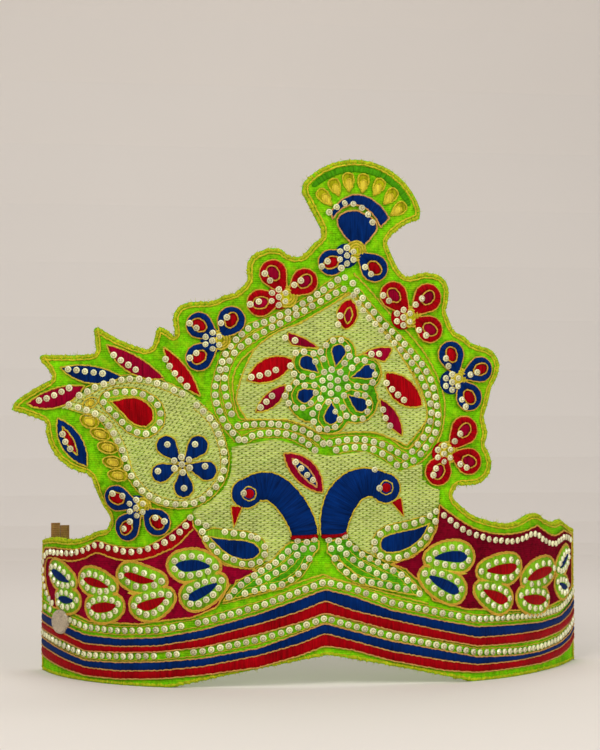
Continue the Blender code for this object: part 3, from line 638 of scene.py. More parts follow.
def satin_finish(name, colour, gloss=0.45, pitch=0.42, deep=0.45, light=1.6):
    """Close satin stitches: sin(2 pi v / pitch) ridges, streaked by noise drawn out along u; the
    streaks move the colour between a darker and a lighter copy, painted sheen over the threads' own
    uneven tone, and the ridges darken the gaps between threads as painted shade.
    """
    web = Web(name)
    along, across = web.thread()
    ridge = across.math("SINE", across * (2.0 * math.pi / (pitch * MM)))
    streak, broad, slow = (web.noise(web.join(along * scale, across * other), 1.0, detail)
                           for scale, other, detail in SATIN_STREAKS)
    # Painted sheen and shade: streaks shift the colour between a darker and a lighter copy, and the
    # ridges darken the gaps between threads
    tone = (streak - 0.5) * 1.5 + (broad - 0.5) * 1.1 + (slow - 0.5) * 0.9 + ridge * 0.1 + 0.46
    web.surface(base_color=web.blend(tone, shade(colour, deep), shade(colour, light)),
                roughness=gloss + (streak - 0.5) * 0.25,
                normal=web.bump(ridge * 0.5 + streak * 1.2 + broad * 2.0, 0.16 * MM),
                specular_ior_level=0.03)


def cord_finish(name, colour, metal, gloss=0.38, deep=0.5, light=1.5):
    """Twisted thread: slanting ridges from the places round the cord, sin(2 pi w / twist), which
    also move the colour between a darker and a lighter copy: painted shade in the grooves and
    painted highlight on the plies.
    """
    web = Web(name)
    along, around = web.thread()
    ridge = around.math("SINE", around * (2.0 * math.pi / (CORD_TWIST * MM)))
    patch = web.noise(web.join(along * 420.0, around * 300.0), 1.0, 2.0)
    # Painted shade and highlight: the twist ridges darken and lighten the colour
    tone = ridge * 0.3 + (patch - 0.5) * 1.3 + 0.5
    web.surface(base_color=web.blend(tone, shade(colour, deep), shade(colour, light)),
                roughness=gloss + (patch - 0.5) * 0.3,
                normal=web.bump(ridge + patch, 0.1 * MM), metallic=metal,
                specular_ior_level=0.12)


def cloth_finish(name, colour, other, share=0.5, grain=1500.0, deep=0.5, light=1.4, gloss=0.8):
    """Cloth on the solids: fine grain, blotches, rows of thread and patches of another colour;
    grain, blotches, slow clouds and rows move the colour between a darker and a lighter copy,
    painted shade and sheen along with the cloth's own uneven tone.
    """
    web = Web(name)
    place = web.node("ShaderNodeTexCoord", output=3)
    fine = web.noise(place, grain, 2.0)
    slow = web.noise(place, 60.0, 3.0)
    rows = web.node("ShaderNodeTexWave", {"bands_direction": "Z"},
                    {"Vector": place, "Scale": 330.0, "Distortion": 1.2, "Detail": 1.0}, 1)
    blotch = web.noise(place, 420.0, 2.0)
    # Painted shade and sheen mixed with the cloth's own tone: the noises and rows shift it between
    # a darker and a lighter copy
    tone = (fine - 0.5) * 1.3 + (blotch - 0.5) * 1.3 + (slow - 0.5) * 1.1 + rows * 0.3 + 0.32
    patch = (web.noise(place, 300.0, 3.0) - 0.47) * 5.0 * share
    plain = web.blend(tone, shade(colour, deep), shade(colour, light))
    web.surface(base_color=web.blend(patch.math("MINIMUM", patch, share), plain,
                                     shade(other, 1.0)),
                roughness=gloss + (fine - 0.5) * 0.2,
                normal=web.bump(rows * 0.6 + fine, 0.15 * MM), specular_ior_level=0.02)


def stone_finish(name, colour, gloss, light=1.2, deep=0.7):
    """Cut glass: each stone has a tone of its own, with faint clouds in it."""
    web = Web(name)
    along, across = web.thread()
    own = web.noise(web.join(along * 55.0, across * 55.0), 1.0, 0.0)
    cloud = web.noise(web.join(along * 900.0, across * 900.0), 1.0, 1.0)
    tone = (own - 0.5) * 2.2 + (cloud - 0.5) * 0.6 + 0.5
    web.surface(base_color=web.blend(tone, shade(colour, deep), shade(colour, light)),
                roughness=gloss + cloud * 0.12, coat_weight=0.6, coat_roughness=0.05)


def horn_finish(name, colour):
    """The flat round stone: a pale skin crossed by fine dark cracks."""
    web = Web(name)
    along, across = web.thread()
    place = web.join(along, across)
    warp = web.noise(place, 500.0, 2.0)
    crack = web.node("ShaderNodeTexVoronoi", {"feature": "DISTANCE_TO_EDGE"},
                     {"Vector": place, "Scale": 900.0})
    line = crack.math("LESS_THAN", crack + warp * 0.05, 0.075)
    tone = web.noise(place, 260.0, 3.0)
    skin = web.blend(tone, shade(colour, 0.75), shade(colour, 1.2))
    web.surface(base_color=web.blend(line * 0.75, skin, shade(colour, 0.35)),
                roughness=0.3 + tone * 0.2, normal=web.bump(line * -1.0, 0.1 * MM),
                coat_weight=0.4, coat_roughness=0.1)


def floor_finish(name, colour):
    """Matt pale floor with the slightest cloud."""
    web = Web(name)
    cloud = web.noise(web.node("ShaderNodeTexCoord", output=3), 3.0, 2.0)
    web.surface(base_color=web.blend(cloud, shade(colour, 0.97), shade(colour, 1.03)),
                roughness=0.85 + cloud * 0.05)


def tint(label, text, red, green, blue):
    """A colour that a user can change."""
    return bpy.props.FloatVectorProperty(name=label, description=text, subtype="COLOR", size=3,
                                         min=0.0, max=1.0, default=linear(red, green, blue))


class CrownColours(bpy.types.PropertyGroup):
    """Colours of threads, cloth and stones."""

    lime: tint("Lime", "Cloth and border", 110, 188, 8)
    edge: tint("Edge", "Thread that binds the edge", 188, 198, 26)
    rim: tint("Rim line", "Yellow thread within the edge", 216, 196, 40)
    leaf: tint("Leaf green", "Satin leaves and fans", 128, 182, 28)
    moss: tint("Moss", "Darker green satin", 72, 150, 14)
    olive: tint("Olive", "Satin within the loops", 166, 168, 14)
    blue: tint("Blue", "Blue satin", 2, 38, 98)
    red: tint("Red", "Red satin", 160, 2, 12)
    magenta: tint("Magenta", "Magenta satin", 142, 2, 38)
    maroon: tint("Maroon", "Ground of the left arm", 128, 4, 34)
    wine: tint("Wine", "Ground of the right arm", 106, 4, 24)
    cream: tint("Cream", "Pale short stitches", 226, 236, 150)
    # The ground's colour is the cloth darkened as painted shade in the gaps between the pale
    # stitches
    shadow: tint("Ground", "Cloth between the pale stitches", 180, 194, 92)
    # Painted shade: dark specks where the gaps at the stitch ends fall in shade
    speck: tint("Speck", "Dark ends of the pale stitches", 74, 92, 20)
    gold: tint("Gold", "Gold outline thread", 232, 192, 56)
    orange: tint("Orange", "Outline thread on the arms", 242, 172, 58)
    pale: tint("Pale thread", "Thread between the stripes", 232, 160, 84)
    # Painted light on the stones: the rim colour is pale glass lightened as painted highlight, the
    # ring is painted shade
    facet: tint("Stone rim", "Sloping faces of the stones", 242, 235, 184)
    ring: tint("Stone ring", "Dark ring within the stones", 112, 106, 62)
    table: tint("Stone table", "Flat tops of the stones", 208, 198, 148)
    horn: tint("Round stone", "The flat round stone", 190, 170, 140)
    strap: tint("Strap", "Closing tabs", 158, 112, 68)
    floor: tint("Floor", "Floor of the stage", 230, 221, 211)


class CrownSizes(bpy.types.PropertyGroup):
    """Sizes of threads and stitches."""

    cord: bpy.props.FloatProperty(
        name="Outline thread", description="Radius of the outline threads", subtype="DISTANCE",
        unit="LENGTH", default=0.42 * MM, min=0.2 * MM, max=0.8 * MM)
    stone: bpy.props.FloatProperty(
        name="Stone", description="Size of the stones, as a part of 3 mm", default=0.97,
        min=0.7, max=1.2)
    stitch: bpy.props.FloatProperty(
        name="Pale stitch", description="Length of the pale stitches", subtype="DISTANCE",
        unit="LENGTH", default=3.1 * MM, min=2.0 * MM, max=5.0 * MM)
    pad: bpy.props.FloatProperty(
        name="Pad height", description="How far the stuffed pads rise", subtype="DISTANCE",
        unit="LENGTH", default=1.2 * MM, min=0.4 * MM, max=2.0 * MM)


class Step(bpy.types.Operator):
    """What the steps share: they need no user and can be undone."""

    bl_options = {"REGISTER", "UNDO"}

    @property
    def line(self):
        """Radius of the outline threads, in millimetres."""
        return bpy.context.scene.crown_sizes.cord / MM

    @property
    def pad(self):
        """Height of the stuffed pads, in millimetres."""
        return bpy.context.scene.crown_sizes.pad / MM

    def sewn(self, piece, kind, shape, finish):
        """A stuffed pad with a thread round it, as the table of pads has it."""
        foot, rise, square, high, thread, part = SEWN[kind]
        dome(piece, shape, foot, self.pad if rise is None else rise, finish, square=square)
        cord(piece, shape, high, self.line * part, thread, True)

    def lay(self, piece, kind, line, closed=True):
        """A thread along a line, as the table of threads has it."""
        high, finish, part = THREADS[kind]
        cord(piece, line, high, self.line * part, finish, closed)

    def lay_beside(self, piece, kind, line, closed=False):
        """Two threads that keep a distance from a row of stones, one on each side."""
        for away in (ROW_THREAD, -ROW_THREAD):
            self.lay(piece, kind, line + sides(line, closed) * away, closed)

    def leaf(self, name, finish, shape, places, core, slot):
        """A pointed leaf with its outline, its stones and perhaps a core."""
        piece = Piece("satin_" + name)
        self.sewn(piece, "leaf", outline(shape), finish)
        if core:
            self.sewn(piece, "leaf_core", outline(core), core_of(finish))
        stones(piece, places, STONES_AT["leaf"])
        piece.make(slot, name)


class CROWN_OT_finishes(Step):
    """Make the finishes of threads, cloth and stones."""

    bl_idname = "crown.finishes"
    bl_label = "Finishes"

    def execute(self, context):
        tones = context.scene.crown_colours
        for name in ("leaf", "moss", "blue", "red", "magenta", "olive"):
            satin_finish(name, getattr(tones, name))
        # Painted shade: the dark specks at the ends of the pale stitches
        satin_finish("speck", tones.speck, gloss=0.7)
        satin_finish("gold_satin", tones.gold, gloss=0.36, deep=0.6)
        satin_finish("cream", tones.cream, gloss=0.55, pitch=0.3, deep=0.7, light=1.2)
        cord_finish("gold", tones.gold, 0.3)
        cord_finish("orange", tones.orange, 0.2)
        cord_finish("pale", tones.pale, 0.1)
        cord_finish("fuzz", tones.edge, 0.0, gloss=0.8, light=1.4)
        cord_finish("binding", tones.rim, 0.1, gloss=0.5)
        cloth_finish("cloth", tones.lime, tones.edge, 0.3)
        cloth_finish("ground", tones.shadow, tones.leaf, 0.3)
        cloth_finish("field", tones.maroon, tones.magenta, 0.5, grain=900.0)
        cloth_finish("field_right", tones.wine, tones.maroon, 0.5, grain=900.0)
        cloth_finish("fan", tones.moss, tones.lime, 0.5, grain=900.0)
        cloth_finish("strap", tones.strap, tones.olive, 0.1, deep=0.8)
        # Painted light on the stones: the facets are pale glass lightened as painted highlight, the
        # ring is painted shade
        stone_finish("facet", tones.facet, 0.2)
        stone_finish("ring", tones.ring, 0.2)
        stone_finish("table", tones.table, 0.12)
        horn_finish("horn", tones.horn)
        floor_finish("floor", tones.floor)
        return {"FINISHED"}


# ---- tables of the ornament, in flat millimetres

GROUND_TOP = 0.75
# Pads: height of the foot above the board's face, and how far they rise
PADS = {
    "border": (0.0, 0.7), "patch": (0.3, 0.44), "petal_core": (0.9, 0.9),
    "disc": (GROUND_TOP, 1.3), "cluster": (GROUND_TOP, 0.9), "eye": (2.0, 0.8),
    "collar": (GROUND_TOP, 1.4), "paisley": (GROUND_TOP, 0.7), "loop": (0.3, 0.4),
    "loop_core": (0.5, 0.6), "field_core": (1.45, 0.7), "field_strip": (0.7, 0.3),
    "wedge": (GROUND_TOP, 0.5), "gold_fill": (GROUND_TOP, 0.6), "horn": (0.6, 1.2),
    "stitch": (GROUND_TOP, 0.4), "speck": (GROUND_TOP + 0.2, 0.24)}
# Pads with a thread round them: foot, rise (None is the height that a user sets), squareness of
# the crown, height of the thread, its finish, and its thickness as a part of an outline thread's
SEWN = {
    "leaf": (0.5, None, 2.6, 0.95, "gold", 1.0),
    "leaf_core": (1.2, 0.7, 2.6, 1.65, "gold", 0.85),
    "heart_flower": (GROUND_TOP, 1.0, 5.0, 1.1, "gold", 1.0),
    "heart_petal": (1.5, 0.9, 2.2, 1.8, "gold", 0.9),
    "beak": (GROUND_TOP, None, 2.6, 1.1, "gold", 1.0),
    "wing_rim": (0.3, 1.1, 5.0, 0.95, "gold", 0.8),
    "wing": (1.4, None, 2.6, 1.7, "gold", 1.0),
    "bird_leaf": (GROUND_TOP, None, 2.6, 1.1, "orange", 1.0),
    "bird_leaf_core": (1.6, 0.7, 2.6, 1.9, "pale", 1.0),
    "paisley_drop": (1.3, None, 2.2, 1.7, "gold", 1.0),
    "paisley_petal": (GROUND_TOP, None, 2.2, 1.2, "gold", 1.0),
    "plume_bulb": (0.3, None, 2.6, 0.8, "pale", 1.0),
    "plume_loop": (0.0, 0.35, 2.6, 0.45, "binding", 1.0),
    "plume_loop_core": (0.3, 0.6, 2.6, 0.6, "binding", 0.8)}
# Heights at which stones are set
STONES_AT = {"band": 0.3, "leaf": 1.5, "cluster": 1.5, "petal": 1.75, "heart_flower": 1.5,
       "heart_row": 0.6, "eye": 2.0, "wing": 1.4, "bird_leaf": 1.7, "fan": 1.0,
       "paisley_ring": 1.3, "paisley_flower": 1.7, "paisley_row": 1.1, "plume": 0.8,
       "field_row": 0.9}
# Threads: height, finish, and thickness as a part of an outline thread's
THREADS = {
    "stripe": (0.95, "pale", 0.8), "band_row": (0.1, "gold", 0.7), "band": (0.15, "gold", 1.0),
    "petal": (1.1, "orange", 1.0), "petal_core": (1.75, "orange", 0.9),
    "heart": (0.3, "gold", 1.0), "heart_row": (0.15, "gold", 0.7),
    "heart_ground": (0.9, "gold", 1.0), "heart_petal": (1.75, "gold", 0.7),
    "neck": (1.2, "gold", 1.0), "eye": (2.1, "gold", 0.9), "fan": (1.0, "gold", 1.0),
    "fan_row": (0.9, "gold", 0.7), "paisley_row": (0.7, "gold", 0.8),
    "paisley_ring": (1.25, "gold", 0.8), "loop": (1.1, "gold", 1.0),
    "plume_arc": (0.8, "pale", 1.0), "field": (0.8, "orange", 1.0),
    "field_line": (1.0, "orange", 1.0), "leaf_inner": (1.0, "orange", 1.0),
    "leaf_outer": (0.95, "orange", 1.0)}

# Outlines are corners (s, z, swell), where the stretch to the next corner swells to its left
BOARD_EDGE = [
    (-ARM_END, 0.0, 0.0), (-ARM_END, 61.8, 0.3), (-140.0, 64.3, -0.5), (-121.0, 64.8, -0.4),
    (-108.0, 69.0, 0.4), (-103.0, 69.2, 0.0), (-99.3, 74.5, -0.4), (-102.5, 80.5, 0.4),
    (-105.0, 93.5, 0.0), (-107.5, 95.8, 5.0), (-126.0, 116.0, 0.0), (-125.5, 118.6, -0.4),
    (-141.5, 124.2, 0.4), (-139.0, 128.8, 0.3), (-123.0, 138.2, 0.0), (-123.5, 140.5, 0.0),
    (-129.0, 147.3, 0.5), (-127.5, 149.0, -0.4), (-103.3, 149.4, 0.0), (-104.5, 160.4, 0.5),
    (-102.3, 161.2, -1.2), (-80.3, 151.2, 0.0), (-78.3, 152.2, 0.0), (-76.0, 160.8, 0.6),
    (-73.0, 160.9, 0.3), (-67.6, 156.2, 0.0), (-69.0, 165.0, 1.4), (-63.5, 172.1, 0.5),
    (-52.5, 172.6, -0.3), (-46.0, 175.6, 0.0), (-41.0, 176.6, 0.0), (-35.2, 181.8, 0.0),
    (-35.6, 187.8, 1.6), (-30.5, 195.2, 1.1), (-20.0, 196.4, -0.5), (-15.5, 193.2, -0.2),
    (-10.5, 193.4, 0.0), (-5.0, 199.8, 0.0), (-1.6, 202.0, 0.0), (-2.1, 206.1, 0.0),
    (-10.8, 222.5, 0.3), (-9.8, 227.2, 15.6), (44.1, 216.0, 0.2), (43.7, 211.2, -1.8),
    (28.0, 200.6, -0.3), (33.5, 188.5, 0.0), (36.5, 184.8, -0.4), (42.5, 186.0, 0.6),
    (51.0, 186.5, 1.6), (57.9, 180.0, 0.6), (56.4, 169.6, 0.0), (60.2, 160.6, -0.2),
    (65.5, 158.2, 0.0), (68.8, 155.2, -0.3), (77.5, 152.8, 1.2), (83.2, 145.0, 0.8),
    (79.0, 134.8, 0.3), (75.2, 121.6, -0.3), (77.1, 114.3, 0.3), (75.4, 108.3, 0.5),
    (79.0, 100.5, 2.4), (71.5, 90.2, 0.3), (62.0, 90.0, -0.3), (59.4, 84.5, -0.4),
    (70.0, 75.9, -0.6), (89.0, 71.4, -0.8), (107.5, 74.6, 0.2), (112.5, 75.4, 0.0),
    (118.2, 74.4, -0.4), (126.0, 71.4, -0.3), (136.0, 69.7, 0.0), (142.8, 71.0, 0.0),
    (147.0, 69.8, 0.0), (157.0, 66.6, 0.0), (RIGHT_END, 65.0, 0.0),
    (RIGHT_END, 0.0, 0.0), (70.0, 0.0, -0.6), (1.0, 14.4, -0.6), (-70.0, 0.0, 0.0)]
EDGE_PLACES = 1180
EDGE_FIBRES = 900
# How far the bound edge, the yellow rim line, the fibres and the satin border lie within the
# edge, and the height and radius of the two threads
EDGE_IN = 0.8
EDGE_THREAD = (-1.0, 1.1)
RIM_IN = 2.1
RIM_THREAD = (0.25, 0.45)
FIBRES_IN = 0.3
BORDER_IN = (2.8, 5.6)
# Where the plume's satin border starts and ends on the edge
PLUME_ENDS = ((-8.0, 226.0), (43.0, 218.0))
BAND_NAMES = ("blue_top", "red_top", "red_foot", "stones", "blue2_top", "red2_top", "red2_foot")
# At each s, the heights of the band's lines in the order of their names
BAND = np.array([
    (-160.0, 28.0, 23.8, 20.2, 18.2, 16.2, 12.2, 7.8),
    (-145.0, 26.6, 22.2, 18.8, 16.6, 14.5, 10.8, 6.0),
    (-130.0, 24.2, 20.3, 16.9, 14.5, 12.2, 8.6, 4.2),
    (-115.0, 21.4, 17.3, 13.9, 12.2, 9.7, 6.5, 2.7),
    (-95.0, 21.0, 17.4, 14.7, 12.9, 10.2, 6.4, 2.7),
    (-75.0, 22.3, 18.6, 15.9, 14.1, 11.5, 7.6, 3.9),
    (-55.0, 26.2, 22.3, 18.4, 16.6, 13.5, 9.8, 6.0),
    (-30.0, 33.2, 28.7, 24.2, 21.7, 18.0, 14.7, 9.4),
    (-12.0, 39.6, 34.1, 29.2, 27.1, 24.4, 19.7, 14.4),
    (-0.5, 43.8, 38.7, 33.2, 30.9, 28.6, 24.1, 18.5),
    (12.0, 40.6, 34.2, 29.9, 27.2, 25.0, 20.6, 16.5),
    (30.0, 33.9, 29.7, 24.8, 22.3, 20.1, 15.4, 11.2),
    (55.0, 28.3, 23.7, 19.6, 16.8, 14.9, 10.4, 6.0),
    (72.0, 25.0, 20.0, 16.1, 13.1, 11.2, 7.6, 4.1),
    (100.0, 24.2, 19.7, 15.5, 11.7, 9.8, 7.4, 4.2),
    (117.5, 23.6, 19.7, 15.5, 11.8, 9.9, 7.8, 4.0),
    (139.8, 24.6, 20.9, 17.1, 13.5, 11.6, 9.2, 5.2),
    (155.5, 28.2, 23.8, 19.6, 16.8, 14.4, 11.7, 7.6),
    (165.0, 31.5, 27.2, 23.2, 20.4, 18.0, 15.2, 11.3)])
STONE_ROW_RISE = 3.4
STRIPE_FOOT = 0.25
STRIPE_PLACES = 244
ROW_PLACES = 400
BAND_LINE = ((-46.5, 37.6), (-24.0, 43.4), (-5.0, 49.4), (-0.5, 50.2), (3.0, 48.8), (23.0, 43.1),
             (47.7, 36.3))
# Runs of stones along the two rows of the band: from s, to s, and how many
UPPER_RUNS = ((-154.0, -147.0, 2), (-127.0, -65.0, 17), (-57.5, -1.8, 16), (2.2, 62.5, 16),
              (67.0, 164.0, 29))
LOWER_RUNS = ((-159.0, -77.5, 22), (-70.6, -66.8, 2), (-59.2, -1.0, 16), (2.5, 164.0, 44))

HEART_GROUND = [
    (11.0, 177.2, 0.9), (32.0, 153.0, 0.8), (45.6, 130.0, 0.9), (47.0, 119.5, 0.4),
    (37.3, 107.8, -0.6), (22.0, 113.8, -0.3), (6.5, 113.4, 0.3), (-3.0, 113.4, -0.5),
    (-18.0, 119.6, 0.0), (-36.0, 119.8, 0.5), (-40.9, 129.0, 1.2), (-32.5, 151.8, 1.6),
    (-13.0, 163.0, 0.0)]
BIRD_GROUND = [
    (-59.0, 79.0, -1.0), (-45.0, 90.0, -1.4), (-42.5, 107.6, 0.0), (-23.0, 111.2, 0.6),
    (-5.0, 104.6, 0.0), (2.0, 103.6, 0.0), (18.0, 105.6, 0.3), (34.0, 96.4, 0.0),
    (44.6, 100.0, 0.0), (44.6, 93.0, -1.0), (53.0, 88.0, 0.0), (52.6, 81.0, 0.0),
    (46.0, 75.0, 0.0), (36.0, 71.5, 0.0), (24.0, 67.5, 0.0), (22.5, 58.5, 0.0),
    (17.0, 60.5, 0.0), (9.6, 67.8, 0.0), (9.2, 70.5, 0.0), (-1.4, 68.9, 0.0),
    (-16.2, 68.9, 0.0), (-17.0, 62.6, 0.0), (-24.5, 55.0, 0.0), (-28.5, 57.0, 0.0),
    (-28.0, 66.0, 0.0), (-44.0, 69.0, 0.0), (-56.0, 73.4, 0.0), (-60.2, 78.6, 0.0)]
# Pale cloth that carries the ground of the birds on to their wings
BIRD_PATCHES = (
    ((-60.2, 78.4, 0.0), (-56.5, 72.8, 0.0), (-44.0, 68.4, 0.0), (-27.5, 65.5, 0.0),
     (-22.0, 70.0, 0.0), (-27.0, 74.0, 0.0), (-44.0, 78.0, 0.0), (-56.0, 82.0, 0.0)),
    ((-28.6, 68.0, 0.0), (-28.6, 57.0, 0.0), (-24.5, 55.0, 0.0), (-17.0, 62.4, 0.0),
     (-15.6, 68.0, 0.0), (-18.0, 73.0, 0.0), (-24.0, 73.0, 0.0)),
    ((22.5, 72.5, 0.0), (23.0, 66.5, 0.0), (36.0, 71.0, 0.0), (46.0, 74.6, 0.0),
     (52.8, 80.6, 0.0), (52.4, 86.0, 0.0), (40.0, 80.0, 0.0), (28.0, 77.0, 0.0)),
    ((8.9, 70.6, 0.0), (9.6, 67.6, 0.0), (16.8, 60.2, 0.0), (22.6, 58.0, 0.0),
     (23.4, 66.0, 0.0), (23.0, 73.0, 0.0), (16.0, 75.0, 0.0)))
PAISLEY_GROUND = [
    (-118.5, 125.4, 1.6), (-92.0, 139.2, 1.2), (-67.0, 134.8, 1.6), (-50.4, 120.6, 1.6),
    (-44.6, 102.6, 1.6), (-52.2, 86.4, 1.6), (-69.4, 80.9, 1.0), (-83.6, 86.6, 0.0),
    (-91.0, 105.0, 0.6), (-100.0, 119.4, 0.0)]

# Leaves on the arms: core, number of stones, and the line of the stones from the leaf's tip
LEAVES = (
    ("field_leaves_left_1", (
        ("blue", 11, ((-49.6, 54.2), (-57.2, 58.8), (-65.3, 58.0), (-68.4, 54.8), (-64.2, 50.5),
                      (-56.7, 51.1))),
        ("blue", 11, ((-46.8, 48.2), (-54.1, 47.5), (-61.0, 44.0), (-62.5, 40.4), (-58.7, 37.3),
                      (-50.6, 41.9))))),
    ("field_leaves_left_2", (
        ("red", 10, ((-73.6, 47.6), (-81.4, 50.8), (-89.9, 52.7), (-93.2, 48.9), (-84.3, 44.6),
                     (-76.4, 45.9))),
        ("red", 11, ((-70.2, 41.6), (-78.0, 41.2), (-85.3, 38.4), (-86.2, 34.9), (-80.2, 32.5),
                     (-73.8, 35.6))))),
    ("field_leaves_left_3", (
        ("red", 11, ((-97.9, 43.6), (-105.0, 48.2), (-112.7, 49.4), (-116.7, 46.8),
                     (-112.7, 43.0), (-104.4, 41.7))),
        ("red", 11, ((-94.9, 36.6), (-102.4, 38.6), (-109.9, 36.8), (-111.8, 33.8),
                     (-107.0, 30.4), (-98.3, 31.9))))),
    ("field_leaves_left_4", (
        ("blue", 11, ((-123.2, 44.2), (-131.0, 49.4), (-140.0, 51.4), (-143.8, 48.4),
                      (-138.0, 44.0), (-129.5, 42.8))),
        ("blue", 9, ((-120.4, 36.8), (-128.0, 39.4), (-134.5, 38.9), (-136.4, 35.6),
                     (-131.0, 33.0), (-124.5, 33.6))))),
    ("field_leaves_right_1", (
        ("blue", 11, ((47.4, 56.6), (54.7, 61.1), (63.3, 61.3), (67.5, 57.2), (63.7, 53.2),
                      (54.6, 54.1))),
        ("blue", 11, ((45.4, 50.2), (53.2, 49.8), (61.1, 46.1), (63.1, 41.4), (58.8, 38.6),
                      (49.9, 43.5))))),
    ("field_leaves_right_2", (
        ("red", 11, ((73.8, 50.2), (83.3, 54.2), (94.2, 54.4), (97.6, 50.8), (91.9, 46.6),
                     (82.7, 47.0))),
        ("red", 11, ((72.8, 43.0), (83.1, 42.3), (89.7, 39.0), (90.6, 35.2), (84.8, 32.8),
                     (77.5, 36.8))))),
    ("field_leaves_right_3", (
        ("red", 10, ((102.4, 44.4), (110.9, 50.0), (123.9, 51.3), (130.3, 47.8), (123.3, 43.8),
                     (110.3, 42.1))),
        ("red", 11, ((99.2, 37.6), (110.3, 38.9), (120.1, 36.9), (123.3, 33.6), (116.2, 30.4),
                     (104.8, 32.1))))),
    ("field_leaves_right_4", (
        ("blue", 11, ((135.6, 47.2), (140.6, 52.0), (147.0, 55.2), (151.6, 54.4),
                      (148.6, 49.6), (142.0, 46.4))),
        ("blue", 9, ((134.8, 41.4), (140.6, 42.0), (146.8, 40.6), (149.8, 37.6), (145.4, 35.2),
                     (138.8, 36.8))))))
# How many places of the field's row of stones the red strip below it follows
FIELD_STRIP = 13
FIELD_WEDGE = ((-43.6, 52.6, 0.0), (-31.4, 52.7, 0.0), (-40.6, 46.8, 0.0), (-44.6, 45.6, 0.0))
# Gold lenses between two leaves: where they start and end
GOLD_FILLS = (((-46.4, 51.6), (-66.0, 46.8)), ((-71.4, 43.8), (-91.0, 41.6)),
              ((-97.2, 40.2), (-115.0, 40.2)), ((-121.8, 41.4), (-139.0, 41.8)),
              ((44.6, 53.4), (67.0, 49.4)), ((71.8, 46.0), (95.0, 45.2)),
              ((100.0, 41.0), (127.0, 41.8)), ((133.6, 44.4), (150.0, 44.6)))
FIELD_LEFT = [
    (-60.6, 77.6, 0.0), (-59.2, 72.0, 0.0), (-52.0, 61.5, -0.8), (-45.4, 54.8, 0.0),
    (-31.8, 53.0, 0.0), (-42.6, 47.3, 0.0), (-49.0, 36.2, 0.0), (-60.0, 31.4, -0.3),
    (-85.0, 27.9, 0.0), (-112.0, 27.6, 0.0), (-128.0, 31.6, 0.0), (-142.5, 31.6, 0.0),
    (-153.5, 38.0, 0.8), (-158.5, 52.0, 0.8), (-154.0, 58.9, 0.0), (-140.0, 59.8, -0.2),
    (-122.0, 59.9, -0.5), (-108.5, 64.4, 0.3), (-104.0, 63.9, -0.9), (-82.0, 62.4, -1.4)]
FIELD_RIGHT = [
    (53.0, 81.2, -0.6), (70.0, 70.3, -0.9), (90.0, 66.7, -0.9), (114.8, 69.7, -0.2),
    (127.0, 64.9, -0.3), (135.0, 63.8, -0.2), (145.8, 65.6, 0.0), (160.0, 62.8, 0.0),
    (160.0, 37.4, 0.0), (148.0, 32.9, 0.0), (120.0, 29.6, 0.0), (95.0, 30.9, -0.2),
    (66.0, 33.2, -0.3), (50.0, 37.6, 0.0), (44.0, 46.8, 0.6), (37.0, 52.2, 0.0),
    (29.8, 54.7, 0.0), (40.0, 57.6, 0.0), (47.5, 63.0, 0.0), (51.5, 70.0, 0.0)]
# Leaves of the arms, from their line of stones: width and part of the pad height of the green
# rim, its two threads and how far out they run, and how far within the core starts
LEAF_RIM = 3.0
LEAF_RIM_PART = 0.8
LEAF_THREADS = (("leaf_inner", 0.0), ("leaf_outer", 0.55))
LEAF_CORE = 1.5

# Rows of stones: the number of stones and places on their line
FIELD_ROWS = (
    ("left", 32, ((-60.7, 76.1), (-65.0, 70.0), (-75.3, 63.6), (-87.8, 60.4), (-100.8, 61.6),
                  (-108.3, 62.7), (-119.5, 58.9), (-135.5, 57.5), (-148.0, 57.3),
                  (-156.0, 52.5), (-155.6, 44.0), (-148.0, 36.0), (-143.0, 33.5))),
    ("right", 29, ((55.1, 76.3), (65.6, 69.2), (79.7, 64.7), (95.7, 63.2), (105.0, 64.8),
                   (112.0, 65.9), (120.0, 62.7), (127.0, 60.5), (133.2, 59.8), (139.8, 61.3),
                   (147.2, 62.4), (156.0, 60.4))))
FIELD_LINE = ((-59.6, 71.0), (-67.0, 63.5), (-73.0, 60.5), (-80.0, 57.7), (-90.0, 56.2),
              (-98.0, 57.0), (-107.5, 59.0), (-115.0, 56.4), (-125.0, 54.4), (-140.0, 54.6),
              (-149.0, 54.2), (-153.0, 50.0), (-152.0, 43.0), (-146.0, 35.6))
HEART_ROWS = (
    (28, ((5.1, 182.8), (-9.5, 172.6), (-24.0, 165.1), (-35.0, 160.6), (-43.5, 152.0),
          (-48.0, 141.5), (-49.8, 130.5), (-45.8, 119.0), (-39.4, 110.9))),
    (10, ((-36.8, 110.9), (-30.6, 113.5), (-18.5, 113.5), (-10.0, 110.0), (-5.0, 106.0))),
    (22, ((8.1, 178.9), (-3.1, 172.7), (-17.8, 164.7), (-31.9, 157.0), (-41.5, 149.6),
          (-45.7, 138.8), (-44.2, 127.3), (-42.6, 122.4))),
    (12, ((-39.6, 116.9), (-31.5, 117.9), (-19.8, 117.5), (-8.0, 113.9), (-1.5, 109.0))),
    (10, ((1.3, 109.4), (9.7, 110.9), (17.6, 110.6), (25.7, 108.6), (36.6, 103.0))),
    (10, ((4.3, 106.3), (12.3, 107.6), (20.0, 106.8), (28.0, 103.3), (33.7, 98.6),
          (40.5, 101.2))),
    (23, ((43.8, 104.3), (51.0, 114.0), (51.9, 125.4), (47.5, 140.6), (37.0, 153.2),
          (25.2, 164.6), (13.9, 177.9))),
    (22, ((39.8, 105.5), (47.3, 115.0), (48.6, 127.1), (42.3, 142.2), (31.7, 154.0),
          (20.1, 165.4), (12.2, 175.9))),
    (2, ((12.2, 181.5), (8.4, 184.1))))
